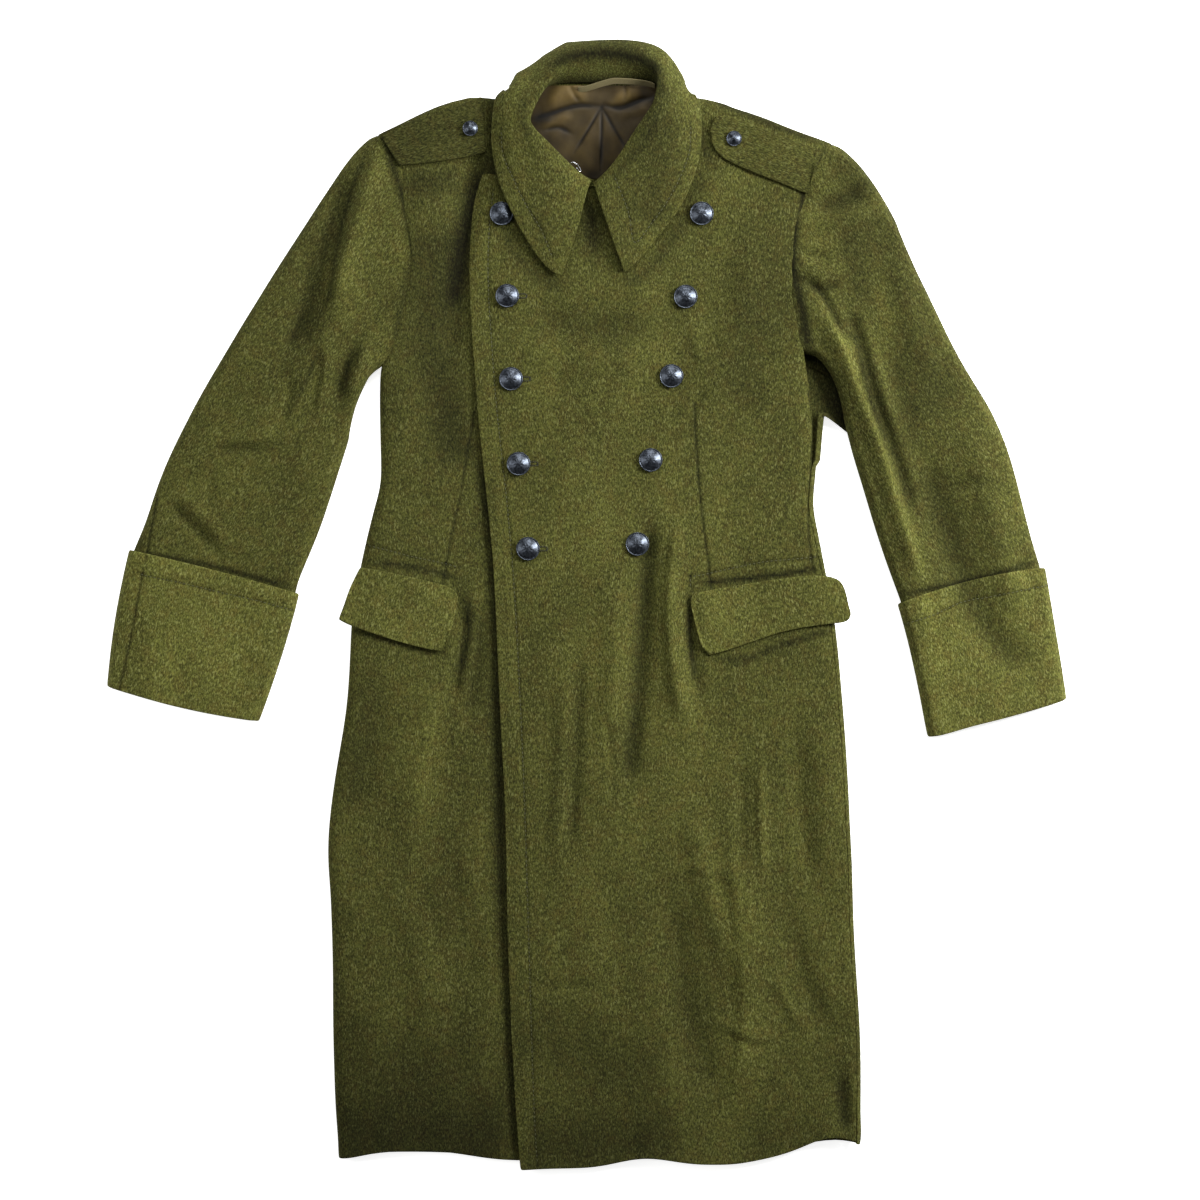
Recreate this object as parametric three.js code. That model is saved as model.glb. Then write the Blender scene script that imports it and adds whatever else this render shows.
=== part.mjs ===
// Military greatcoat, double breasted, laid out flat with its front up.
// Millimetres. Origin on the surface under the middle of the outline, +Z up, +Y towards the collar,
// +X towards the wearer's left, which is on the right of a person who looks down on the coat.
import * as THREE from 'three';

// Driving dimensions
const melton = 2.4;           // wall of the heavy wool cloth
const collarCloth = 3.0;      // the collar's two plies, pressed
const strapCloth = 3.0;       // shoulder straps and pocket flaps, two plies
const liningCloth = 1.2;
const loopCloth = 1.5;
const seamGap = 0.3;
const shoulderGap = 1.6;
const armholeGap = 0.6;       // the armhole curves and its facets differ by this much
const layGap = 0.4;           // between a panel and what lies on it
const sideRoll = 14;          // how far a side fold rounds over
const sideHeight = 16;        // height of the side and shoulder folds
const shoulderRoll = 10;
const underMid = 9;           // top of the under front between its folds
const tuckedTop = 7;          // top of the under front where the other front laps it
const overMid = 12;           // top of the lapping front
const foldSpread = 60;        // how far in from a fold the panel stays lifted
const liftFade = 3;           // how fast that lift dies out
const neckLiftShare = 0.3;    // the neck edge lifts the panel less, over half the distance
const foldFade = 25;          // folds run out over this much beside the rounding of a side
const sideSeamAngle = 51;     // degrees above level where the back's rolled up edge ends
const seamTurn = 3;           // degrees from there to the lapping front
const underFree = 104;        // free edge of the under front, hidden below the other one
const lapFrom = 26;           // the under front sinks below the lapping one between these
const lapTo = 4;              // distances from its free edge
const tuckSpare = 0.5;
const backBow = 34;           // the back's rows bend up this much towards the neck
const tubeRoll = 11.2;        // how far the sides of a sleeve round over
const tubeLoft = 0.8;
const cuffHeight = 20;
const cuffInset = 3.3;        // the sleeve runs on inside the cuff, this far in from it
const cuffSpare = 0.6;
const cuffFlare = 1;          // the cuff stands this much higher at its upper edge
const loopBow = 2.5;          // the hanger loop stands off the stand by this much in its middle
const loopLow = 1;            // its two edges, up from the neck seam
const loopHigh = 8;
const hookWire = 0.7;         // radius
const buttonRadius = 12.5;
const buttonHeight = 5.6;
const shankHeight = 1.6;
const strapButtonRadius = 8;
const strapButtonHeight = 4.2;

const olive = 0x55562f;
const oliveDark = 0x4c4d2a;
const brownLining = 0x50432f;
const tanTape = 0x8f8660;
const gunmetal = 0x2b2f36;
const silver = 0xb9bcc0;

// The body from the hem up: the outline on both sides and the free edge of the lapping front.
// Above the armpits the sides are the armhole seams.
const bodyRows = [
  { y: -590, left: -262, right: 288, free: -70 },
  { y: -540, left: -266, right: 291, free: -75 },
  { y: -500, left: -267, right: 291, free: -77 },
  { y: -455, left: -268, right: 290, free: -80 },
  { y: -415, left: -268, right: 287, free: -81 },
  { y: -374, left: -268, right: 284, free: -83 },
  { y: -340, left: -269, right: 282, free: -84 },
  { y: -306, left: -270, right: 281, free: -84.5 },
  { y: -270, left: -273.5, right: 280, free: -85 },
  { y: -235, left: -272, right: 278, free: -86 },
  { y: -196, left: -267, right: 276.5, free: -87 },
  { y: -166, left: -262, right: 275, free: -89 },
  { y: -130, left: -256, right: 273, free: -91 },
  { y: -98, left: -252, right: 270.5, free: -92.5 },
  { y: -50, left: -250, right: 267, free: -94.5 },
  { y: -15, left: -249, right: 263, free: -96 },
  { y: 15, left: -244, right: 258, free: -97.5 },
  { y: 45, left: -239, right: 250, free: -99 },
  { y: 80, left: -231, right: 242, free: -102.5 },
  { y: 104, left: -225, right: 238, free: -105 },
  { y: 128, left: -218, right: 241, free: -107.5 },
  { y: 160, left: -219, right: 245, free: -111 },
  { y: 205, left: -220, right: 246, free: -116 },
  { y: 228, left: -220, right: 236, free: -117.5 },
  { y: 256, left: -219, right: 232, free: -119 },
  { y: 275, left: -211, right: 229, free: -121 },
  { y: 298, left: -201, right: 227, free: -122.5 },
  { y: 322, left: -195, right: 222.5, free: -123.5 },
  { y: 348, left: -189, right: 221, free: -124.5 },
  { y: 370, left: -188, right: 221.5, free: -124 },
  { y: 392, left: -191, right: 223, free: -123 },
];
const leftArmpit = 262;       // above this the left side is a seam, not a fold
const rightArmpit = 209;

// Rows above the chest, from the armhole seam to the free end or the neck edge. bow lifts the middle.
const overTop = [
  { sideX: 226, sideY: 414, neckX: -121, neckY: 418, bow: 0 },
  { sideX: 233, sideY: 430, neckX: -117, neckY: 438, bow: 0 },
  { sideX: 237, sideY: 441, neckX: -110, neckY: 456, bow: -13 },
  { sideX: 240, sideY: 449, neckX: -55, neckY: 451, bow: -9 },
  { sideX: 242, sideY: 455, neckX: -10, neckY: 440.5, bow: -3 },
  { sideX: 244, sideY: 460, neckX: 13, neckY: 438, bow: 0 },
  { sideX: 246, sideY: 464, neckX: 37, neckY: 455, bow: 0 },
  { sideX: 248, sideY: 468, neckX: 52, neckY: 470, bow: 1 },
  { sideX: 250, sideY: 471, neckX: 66, neckY: 484, bow: 2 },
  { sideX: 252, sideY: 474, neckX: 80, neckY: 500, bow: 4 },
  { sideX: 254, sideY: 477, neckX: 92, neckY: 513, bow: 6 },
  { sideX: 257, sideY: 480, neckX: 95, neckY: 524, bow: 9 },
];
const underTop = [
  { sideX: -195, sideY: 414, neckX: 104, neckY: 416, bow: 0 },
  { sideX: -197, sideY: 436, neckX: 104, neckY: 438, bow: 0 },
  { sideX: -197, sideY: 449, neckX: 56, neckY: 446, bow: 0 },
  { sideX: -198, sideY: 459, neckX: 8, neckY: 448, bow: 0 },
  { sideX: -200, sideY: 467, neckX: -16, neckY: 458, bow: 0 },
  { sideX: -203, sideY: 474, neckX: -34, neckY: 469, bow: 1 },
  { sideX: -207, sideY: 480, neckX: -50, neckY: 481, bow: 3 },
  { sideX: -211, sideY: 484, neckX: -65, neckY: 493, bow: 5 },
  { sideX: -215, sideY: 487, neckX: -77, neckY: 506, bow: 7 },
  { sideX: -218, sideY: 489, neckX: -80, neckY: 520, bow: 11 },
];
// Where the back lies on the collar's fall: how much higher, and between which places it rises
const neckPad = {
  lift: 4.3, leftFrom: -150, leftTo: -108, rightFrom: 132, rightTo: 172, lowFrom: 430, lowTo: 500,
};
// Where the under front passes below the other one at the throat, and where the lap ends
const throat = { leftFrom: -60, leftTo: -20, lowFrom: 440, lowTo: 460 };
const lapTop = { from: 452, to: 476 };
// Where the shoulder fold ends over the sleeve head
const shoulderTip = { over: { y: 490, side: 262 }, under: { y: 499, side: -223 } };
// The underarm of the left sleeve shows as a low tongue of the back: where its rows run out to
const underarm = [
  { y: 228, toX: 273, toY: 176 },
  { y: 256, toX: 249, toY: 239 },
];
// The lower edge of the lapping front, a slow wave: how far it drops below the hem line
const hemWave = [
  { x: -70, drop: 9 }, { x: 10, drop: 9 }, { x: 60, drop: 1 }, { x: 110, drop: 6 }, { x: 160, drop: 5 },
  { x: 200, drop: -3 }, { x: 250, drop: -19 }, { x: 288, drop: -17 },
];
const underHemWave = [
  { x: -262, drop: -5 }, { x: -232, drop: -8 }, { x: -150, drop: -11 }, { x: -105, drop: -5 }, { x: -60, drop: 1 },
];
// The back's own rows: its hem, and those above the armpits
const backHem = { leftX: -262, leftY: -584, rightX: 288, rightY: -576, folded: true, rolled: true };
const backTopRows = [
  { leftY: 414, rightY: 412 },
  { leftY: 436, rightY: 430 },
  { leftY: 456, rightY: 447 },
  { leftY: 472, rightY: 463 },
];
// The neck edge of the back
const backNeckY = 552;
const backNeckLeft = -50;
const backNeckRight = 77;

// Folds that stand out: soft ridges (rise above 0) and troughs along short paths
const folds = [
  { on: 'under', rise: -2.4, width: 11, path: [[-124, 460], [-138, 383], [-147, 285]] },
  { on: 'under', rise: 3.5, width: 20, path: [[-165, 430], [-172, 350], [-168, 280]] },
  { on: 'under', rise: -1.6, width: 8, path: [[-120, 199], [-134, 118], [-154, 22]] },
  { on: 'under', rise: 3.0, width: 20, path: [[-160, -60], [-168, -200], [-160, -330]] },
  { on: 'under', rise: 2.4, width: 22, path: [[-215, -330], [-205, -450], [-210, -560]] },
  { on: 'over', rise: -1.4, width: 8, path: [[114, 210], [118, 110], [133, 18]] },
  { on: 'over', rise: -1.9, width: 12, path: [[68, 44], [61, -25], [69, -109], [68, -150]] },
  { on: 'over', rise: 3.2, width: 17, path: [[94, 20], [96, -70], [92, -150]] },
  { on: 'over', rise: 2.6, width: 16, path: [[30, -60], [34, -140], [22, -250]] },
  { on: 'over', rise: 3.8, width: 21, path: [[170, -250], [176, -330], [172, -430]] },
  { on: 'over', rise: -2.0, width: 17, path: [[95, -374], [112, -440], [139, -516]] },
  { on: 'over', rise: 2.8, width: 22, path: [[60, -400], [70, -500], [66, -590]] },
  { on: 'over', rise: -2.0, width: 12, path: [[213, -388], [226, -414], [246, -435]] },
  { on: 'over', rise: 2.6, width: 18, path: [[40, 250], [0, 200], [-30, 120]] },
  { on: 'rightSleeve', rise: 3.6, width: 15, path: [[-226, 480], [-249, 402], [-276, 300]] },
  { on: 'rightSleeve', rise: -3.0, width: 12, path: [[-275, 326], [-296, 300], [-318, 272]] },
  { on: 'rightSleeve', rise: 3.2, width: 17, path: [[-286, 262], [-312, 215], [-338, 165]] },
  { on: 'rightSleeve', rise: -2.4, width: 12, path: [[-429, 108], [-398, 66], [-380, 45]] },
  { on: 'leftSleeve', rise: -3.0, width: 15, path: [[242, 432], [265, 440], [292, 455]] },
  { on: 'leftSleeve', rise: 4.4, width: 14, path: [[236, 330], [265, 290], [293, 240], [316, 180], [340, 110]] },
  { on: 'leftSleeve', rise: -3.4, width: 13, path: [[300, 300], [325, 230], [352, 150], [388, 55]] },
];

// Sleeve sections from the armhole to the cuff: both edges of the flattened tube, the bow of the
// section towards the body and the height of the tube.
const rightSleeveRows = [
  { innerX: -219, innerY: 262, outerX: -223, outerY: 499, bow: 31, height: 16, atArmhole: 'under' },
  { innerX: -225, innerY: 251, outerX: -247, outerY: 480, bow: 25, height: 17 },
  { innerX: -231, innerY: 239, outerX: -271, outerY: 445, bow: 17, height: 18 },
  { innerX: -239, innerY: 222, outerX: -299, outerY: 401, bow: 10, height: 18 },
  { innerX: -247, innerY: 200, outerX: -328, outerY: 357, bow: 5, height: 18 },
  { innerX: -252, innerY: 172, outerX: -356, outerY: 311, bow: 2, height: 18 },
  { innerX: -262, innerY: 140, outerX: -384, outerY: 264, bow: 0, height: 17 },
  { innerX: -273, innerY: 105, outerX: -408, outerY: 224, bow: 0, height: 17 },
  { innerX: -284, innerY: 74, outerX: -431, outerY: 176, bow: 0, height: 16 },
  { innerX: -295, innerY: 45, outerX: -452, outerY: 128, bow: 0, height: 15.5 },
  { innerX: -303, innerY: 22, outerX: -469, outerY: 82, bow: 0, height: 15 },
];
const leftSleeveRows = [
  { innerX: 233, innerY: 267, outerX: 261, outerY: 490, bow: 20, height: 16, atArmhole: 'over' },
  { innerX: 244, innerY: 261, outerX: 283, outerY: 475, bow: 15, height: 17 },
  { innerX: 254, innerY: 250, outerX: 306, outerY: 447, bow: 9, height: 18 },
  { innerX: 262, innerY: 235, outerX: 327, outerY: 409, bow: 4, height: 18 },
  { innerX: 268, innerY: 217, outerX: 347, outerY: 360, bow: 0, height: 18 },
  { innerX: 273, innerY: 192, outerX: 369, outerY: 316, bow: 0, height: 18 },
  { innerX: 280, innerY: 162, outerX: 391, outerY: 268, bow: 0, height: 17 },
  { innerX: 288, innerY: 136, outerX: 411, outerY: 231, bow: 0, height: 17 },
  { innerX: 296, innerY: 110, outerX: 428, outerY: 199, bow: 0, height: 16 },
  { innerX: 305, innerY: 80, outerX: 445, outerY: 153, bow: 0, height: 15.5 },
  { innerX: 315, innerY: 45, outerX: 462, outerY: 107, bow: 0, height: 15 },
  { innerX: 324, innerY: 16, outerX: 476, outerY: 64, bow: 0, height: 15 },
];
const rightCuffRows = [
  { innerX: -304, innerY: 10, outerX: -485, outerY: 57, bow: 2 },
  { innerX: -309, innerY: -10, outerX: -493, outerY: 25, bow: 1 },
  { innerX: -318, innerY: -42, outerX: -501, outerY: -15, bow: 0 },
  { innerX: -331, innerY: -82, outerX: -506, outerY: -52, bow: 0 },
  { innerX: -346, innerY: -123, outerX: -509, outerY: -86, bow: -2 },
];
const leftCuffRows = [
  { innerX: 329, innerY: -1, outerX: 487, outerY: 38, bow: 6 },
  { innerX: 336, innerY: -24, outerX: 492, outerY: 10, bow: 4 },
  { innerX: 344, innerY: -56, outerX: 498, outerY: -26, bow: 1 },
  { innerX: 352, innerY: -94, outerX: 504, outerY: -62, bow: -1 },
  { innerX: 362, innerY: -139, outerX: 510, outerY: -101, bow: -3 },
];

// Collar stations from the right front's point round the neck to the left front's point: the neck
// seam, the roll line, the middle of the fall and its free edge. The heights are those of the side
// that the fold hides.
const collarRows = [
  { neck: [8, 447, 9], roll: [3, 442.5, 18.5], mid: [-9, 398, 19.5], edge: [-26, 347, 15] },
  { neck: [-2, 450, 9], roll: [-7, 449, 20], mid: [-22, 404, 21], edge: [-38, 350, 15] },
  { neck: [-14, 458, 9.5], roll: [-15, 457, 23], mid: [-35, 418, 23], edge: [-57, 373, 15.5] },
  { neck: [-31, 470, 10.5], roll: [-28, 471, 27], mid: [-54, 446, 26], edge: [-80, 414, 19.5] },
  { neck: [-47, 482, 12], roll: [-42, 485, 30], mid: [-70, 470, 28], edge: [-94, 447, 20] },
  { neck: [-61, 493, 13], roll: [-54, 496, 32], mid: [-80, 493, 30], edge: [-101, 484, 20] },
  { neck: [-73, 505, 14], roll: [-62, 506, 33], mid: [-84, 512, 30], edge: [-99, 515, 21] },
  { neck: [-75, 514, 14], roll: [-60, 514, 33], mid: [-84, 530, 28], edge: [-95, 541, 17] },
  { neck: [-73, 524, 14], roll: [-57, 521, 33], mid: [-82, 547, 22], tuck: [-88, 550, 7], edge: [-86, 540, 3] },
  { neck: [-65, 536, 13], roll: [-52, 531, 33], mid: [-73, 558, 14], tuck: [-72, 548, 3.2], edge: [-66, 520, 3] },
  { neck: [-52, 547, 11], roll: [-44, 545, 32], mid: [-58, 569, 13], tuck: [-54, 557, 3.2], edge: [-46, 512, 3] },
  { neck: [-34, 554, 9], roll: [-34, 558, 30], mid: [-44, 579, 13], tuck: [-37, 565, 3.2], edge: [-26, 510, 3] },
  { neck: [-12, 554, 8], roll: [-16, 576, 26], mid: [-22, 593, 13], tuck: [-17, 575, 3.2], edge: [-6, 509, 3] },
  { neck: [15, 554, 8], roll: [15, 582, 24], mid: [15, 596, 12], tuck: [15, 577, 3.2], edge: [15, 509, 3] },
  { neck: [42, 554, 8], roll: [48, 582, 25], mid: [50, 596, 12], tuck: [46, 577, 3.2], edge: [38, 509, 3] },
  { neck: [64, 554, 9], roll: [72, 570, 28], mid: [78, 590, 13], tuck: [70, 574, 3.2], edge: [58, 510, 3] },
  { neck: [80, 548, 11], roll: [77, 555, 31], mid: [91, 574, 13], tuck: [85, 562, 3.2], edge: [76, 512, 3] },
  { neck: [87, 537, 13], roll: [76, 540, 33], mid: [98, 559, 14], tuck: [96, 549, 3.2], edge: [94, 520, 3] },
  { neck: [91, 525, 14], roll: [73, 528, 33], mid: [104, 547, 21], tuck: [109, 544, 7], edge: [107, 532, 3] },
  { neck: [88, 514, 14], roll: [68, 519, 33], mid: [105, 533, 27], edge: [118, 533, 17] },
  { neck: [77, 501, 14], roll: [58, 505, 33], mid: [100, 512, 30], edge: [122, 505, 19] },
  { neck: [63, 486, 14], roll: [49, 492, 31], mid: [92, 488, 29], edge: [120, 476, 17.5] },
  { neck: [49, 472, 14], roll: [40, 478, 29], mid: [78, 466, 27], edge: [113, 447, 16.5] },
  { neck: [34, 457, 13], roll: [31, 465, 26], mid: [62, 444, 24], edge: [99, 417, 16] },
  { neck: [22, 449, 13], roll: [21, 454, 23], mid: [46, 421, 21], edge: [75, 387, 15.5] },
  { neck: [15, 446, 15.2], roll: [13, 447, 21], mid: [32, 402, 20.5], edge: [52, 359, 15] },
  { neck: [11, 443, 15.5], roll: [9, 442.5, 20], mid: [24, 396, 19.5], edge: [40, 350, 15] },
];

// Brown lining inside the back of the neck, from the seam above the back's facing up to the collar
const liningRows = [
  { y: 451, left: 3, right: 20 },
  { y: 459, left: -12, right: 38 },
  { y: 472, left: -36, right: 58 },
  { y: 492, left: -66, right: 74 },
  { y: 512, left: -74, right: 84 },
  { y: 530, left: -68, right: 84 },
  { y: 546, left: -50, right: 76 },
];

// The hook's wire, from its sewn foot round its bend to its point
const hookPath = [
  { x: -18.4, y: 465.8, z: 11 }, { x: -14.4, y: 467.8, z: 11.5 }, { x: -7.4, y: 465.8, z: 12 },
  { x: -2.4, y: 461.8, z: 12 }, { x: -0.4, y: 458.3, z: 12.5 }, { x: -2.9, y: 457.8, z: 14 },
  { x: -7.4, y: 461.8, z: 14 },
];

// Pocket flaps and shoulder straps: the four sides as rows across the strip, end to end
const rightFlapRows = [
  { topX: -249, topY: 17, lowX: -261, lowY: -17 },
  { topX: -239, topY: 39, lowX: -248, lowY: -24 },
  { topX: -214, topY: 34, lowX: -222, lowY: -33 },
  { topX: -185, topY: 28, lowX: -195, lowY: -42 },
  { topX: -160, topY: 22, lowX: -170, lowY: -48 },
  { topX: -142, topY: 17, lowX: -153, lowY: -51 },
  { topX: -135, topY: 8, lowX: -146, lowY: -41 },
];
const leftFlapRows = [
  { topX: 111, topY: 8, lowX: 121, lowY: -44 },
  { topX: 118, topY: 12, lowX: 130, lowY: -55 },
  { topX: 140, topY: 16, lowX: 152, lowY: -49 },
  { topX: 165, topY: 20, lowX: 180, lowY: -39 },
  { topX: 190, topY: 24, lowX: 206, lowY: -30 },
  { topX: 216, topY: 28, lowX: 232, lowY: -25 },
  { topX: 246, topY: 31, lowX: 262, lowY: -21 },
  { topX: 263, topY: 25, lowX: 275, lowY: -20 },
  { topX: 273, topY: 9, lowX: 279, lowY: -12 },
];
const rightStrapRows = [
  { topX: -219, topY: 497, lowX: -198, lowY: 463 },
  { topX: -196, topY: 507, lowX: -178, lowY: 465 },
  { topX: -168, topY: 515, lowX: -152, lowY: 468 },
  { topX: -138, topY: 523, lowX: -124, lowY: 473 },
  { topX: -113, topY: 531, lowX: -108, lowY: 477 },
  { topX: -107, topY: 529, lowX: -105, lowY: 482 },
];
const leftStrapRows = [
  { topX: 132, topY: 499, lowX: 132, lowY: 487 },
  { topX: 137, topY: 515, lowX: 140, lowY: 473 },
  { topX: 152, topY: 515, lowX: 160, lowY: 463 },
  { topX: 178, topY: 507, lowX: 187, lowY: 452 },
  { topX: 206, topY: 497, lowX: 212, lowY: 442 },
  { topX: 232, topY: 487, lowX: 236, lowY: 432 },
  { topX: 250, topY: 479, lowX: 238, lowY: 450 },
];

const buttons = [
  { name: 'button_right_1', on: 'over', x: -90, y: 413 },
  { name: 'button_right_2', on: 'over', x: -84, y: 326 },
  { name: 'button_right_3', on: 'over', x: -80, y: 238 },
  { name: 'button_right_4', on: 'over', x: -72, y: 148 },
  { name: 'button_right_5', on: 'over', x: -62, y: 58 },
  { name: 'button_left_1', on: 'over', x: 122, y: 413 },
  { name: 'button_left_2', on: 'over', x: 105, y: 325 },
  { name: 'button_left_3', on: 'over', x: 90, y: 241 },
  { name: 'button_left_4', on: 'over', x: 68, y: 152 },
  { name: 'button_left_5', on: 'over', x: 54, y: 63 },
];
const strapButtons = [
  { name: 'strap_button_right', on: 'under', x: -123, y: 502, spare: 0.8 },
  { name: 'strap_button_left', on: 'over', x: 156, y: 492, spare: 0 },
];
// spare is what a piece needs on top of the lay gap, as it bridges the panel's hollows
const laidPieces = [
  { name: 'right_pocket_flap', rows: rightFlapRows, on: 'under', steps: 5, spare: 0.9 },
  { name: 'left_pocket_flap', rows: leftFlapRows, on: 'over', steps: 4, spare: 0.5 },
  { name: 'right_shoulder_strap', rows: rightStrapRows, on: 'under', steps: 4, spare: 0.5 },
  { name: 'left_shoulder_strap', rows: leftStrapRows, on: 'over', steps: 4, spare: 0 },
];

const lerp = THREE.MathUtils.lerp;
const smooth = THREE.MathUtils.smoothstep;

// Value of a column at a place along a table whose places rise
function column(rows, place, at, key) {
  const last = rows.length - 1;
  if (at <= rows[0][place]) return rows[0][key];
  if (at >= rows[last][place]) return rows[last][key];
  const k = rows.findIndex((row) => row[place] > at);
  const t = (at - rows[k - 1][place]) / (rows[k][place] - rows[k - 1][place]);
  return lerp(rows[k - 1][key], rows[k][key], t);
}

function distanceToPath(path, x, y) {
  let best = Infinity;
  for (let k = 1; k < path.length; k++) {
    const [ax, ay] = path[k - 1];
    const [bx, by] = path[k];
    const run = (bx - ax) ** 2 + (by - ay) ** 2;
    const t = THREE.MathUtils.clamp(((x - ax) * (bx - ax) + (y - ay) * (by - ay)) / run, 0, 1);
    best = Math.min(best, Math.hypot(x - ax - t * (bx - ax), y - ay - t * (by - ay)));
  }
  return best;
}

function foldRise(on, x, y) {
  let rise = 0;
  for (const fold of folds) {
    if (fold.on === on) rise += fold.rise * Math.exp(-((distanceToPath(fold.path, x, y) / fold.width) ** 2));
  }
  return rise;
}

// Outline tables of the whole side, with the rows above the chest joined on
const seamRow = (r) => ({ y: r.sideY, side: r.sideX });
const fullRows = {
  over: [...bodyRows.map((r) => ({ y: r.y, side: r.right })), ...overTop.map(seamRow), shoulderTip.over],
  under: [...bodyRows.map((r) => ({ y: r.y, side: r.left })), ...underTop.map(seamRow), shoulderTip.under],
};
const sideAt = (on, y) => column(fullRows[on], 'y', y, 'side');
const neckPath = {
  over: overTop.slice(5).map((r) => [r.neckX, r.neckY]),
  under: underTop.slice(3).map((r) => [r.neckX, r.neckY]),
};
const crestPath = { over: crest(overTop.at(-1)), under: crest(underTop.at(-1)) };

function rowPoint(row, t) {
  const x = lerp(row.sideX, row.neckX, t);
  const y = lerp(row.sideY, row.neckY, t) + row.bow * Math.sin(Math.PI * t);
  return [x, y];
}

function crest(row) {
  return [0, 0.25, 0.5, 0.75, 1].map((t) => rowPoint(row, t));
}

// Height of a front's upper face. It stays lifted along the side fold, the shoulder and the neck.
function frontHeight(on, x, y) {
  const inFromSide = Math.abs(sideAt(on, y) - x);
  const fromFold = Math.max(inFromSide - sideRoll, 0) / foldSpread;
  const fromShoulder = distanceToPath(crestPath[on], x, y) / foldSpread;
  const fromNeck = distanceToPath(neckPath[on], x, y) / foldSpread;
  const fade = (far) => Math.exp(-liftFade * far ** 2);
  const lift = Math.cbrt(fade(fromFold) + fade(fromShoulder) + neckLiftShare * fade(2 * fromNeck));
  const mid = on === 'over' ? overMid : underMid;
  const belowShoulder = 1 - smooth(Math.exp(-(fromShoulder ** 2)), 0.7, 1);
  const calm = smooth(inFromSide, sideRoll, sideRoll + foldFade) * belowShoulder;
  let z = mid + (sideHeight - mid) * Math.min(lift, 1) + foldRise(on, x, y) * calm;
  if (on === 'over') return Math.max(z, tuckedTop + melton + layGap);
  const free = freeEdge(y);
  const tucked = smooth(x, free - lapFrom, free - lapTo) * (1 - smooth(y, lapTop.from, lapTop.to));
  z = lerp(z, tuckedTop, tucked);
  const atThroat = smooth(x, throat.leftFrom, throat.leftTo) * smooth(y, throat.lowFrom, throat.lowTo);
  return lerp(z, Math.min(z, tuckedTop + tuckSpare), atThroat);
}

function freeEdge(y) {
  if (y <= bodyRows.at(-1).y) return column(bodyRows, 'y', y, 'free');
  return column(overTop.slice(0, 3), 'neckY', y, 'neckX');
}

function underLift(x, y) {
  const { lift, leftFrom, leftTo, rightFrom, rightTo, lowFrom, lowTo } = neckPad;
  const across = smooth(x, leftFrom, leftTo) * (1 - smooth(x, rightFrom, rightTo));
  return lift * across * smooth(y, lowFrom, lowTo);
}

// Direction of a line of points at one of them, true to its curve at the ends too
function tangent(line, k, ring) {
  const last = line.length - 1;
  const way = (a, b, c) => a.clone().multiplyScalar(-3).addScaledVector(b, 4).sub(c);
  if (ring) return line[(k + 1) % (last + 1)].clone().sub(line[(k + last) % (last + 1)]);
  if (last === 1) return line[1].clone().sub(line[0]);
  if (k === 0) return way(line[0], line[1], line[2]);
  if (k === last) return way(line[last], line[last - 1], line[last - 2]).negate();
  return line[k + 1].clone().sub(line[k - 1]);
}

// A closed wall from a grid of points on one face. The other face lies along the normals, which
// point away from the first one, and a negative thickness turns them.
function wallFromGrid(grid, thickness, ring = false) {
  const rows = grid.length;
  const cols = grid[0].length;
  const columns = grid[0].map((_, i) => grid.map((row) => row[i]));
  const second = grid.map((row, j) => row.map((p, i) => {
    const along = tangent(columns[i], j, false);
    const normal = tangent(row, i, ring).cross(along).normalize();
    const q = p.clone().addScaledVector(normal, thickness);
    q.z = Math.max(q.z, 0);
    return q;
  }));
  const position = [...grid.flat(), ...second.flat()].flatMap((p) => [p.x, p.y, p.z]);
  const index = [];
  const at = (face, j, i) => (face * rows + j) * cols + (i % cols);
  const quad = (a, b, c, d) => index.push(a, b, c, a, c, d);
  const spans = ring ? cols : cols - 1;
  for (let j = 0; j < rows - 1; j++) {
    for (let i = 0; i < spans; i++) {
      quad(at(0, j, i), at(0, j + 1, i), at(0, j + 1, i + 1), at(0, j, i + 1));
      quad(at(1, j, i), at(1, j, i + 1), at(1, j + 1, i + 1), at(1, j + 1, i));
    }
  }
  for (let i = 0; i < spans; i++) {
    quad(at(0, 0, i), at(0, 0, i + 1), at(1, 0, i + 1), at(1, 0, i));
    quad(at(0, rows - 1, i + 1), at(0, rows - 1, i), at(1, rows - 1, i), at(1, rows - 1, i + 1));
  }
  for (let j = 0; j < rows - 1 && !ring; j++) {
    quad(at(0, j + 1, 0), at(0, j, 0), at(1, j, 0), at(1, j + 1, 0));
    quad(at(0, j, cols - 1), at(0, j + 1, cols - 1), at(1, j + 1, cols - 1), at(1, j, cols - 1));
  }
  const geometry = new THREE.BufferGeometry();
  geometry.setAttribute('position', new THREE.Float32BufferAttribute(position, 3));
  geometry.setIndex(index);
  return facingOut(geometry);
}

// Turns the faces over where the grid ran the other way round
function facingOut(geometry) {
  const p = geometry.attributes.position;
  const index = geometry.index.array;
  const [a, b, c] = [new THREE.Vector3(), new THREE.Vector3(), new THREE.Vector3()];
  let volume = 0;
  for (let k = 0; k < index.length; k += 3) {
    a.fromBufferAttribute(p, index[k]);
    b.fromBufferAttribute(p, index[k + 1]);
    c.fromBufferAttribute(p, index[k + 2]);
    volume += a.dot(b.cross(c));
  }
  if (volume < 0) {
    for (let k = 0; k < index.length; k += 3) [index[k], index[k + 1]] = [index[k + 1], index[k]];
  }
  geometry.computeVertexNormals();
  return geometry;
}

// A front panel: rows from the side, over the side fold, to the free end, then over the shoulder
const foldSteps = 4;
const flatSteps = { over: 15, under: 9 };

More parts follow.
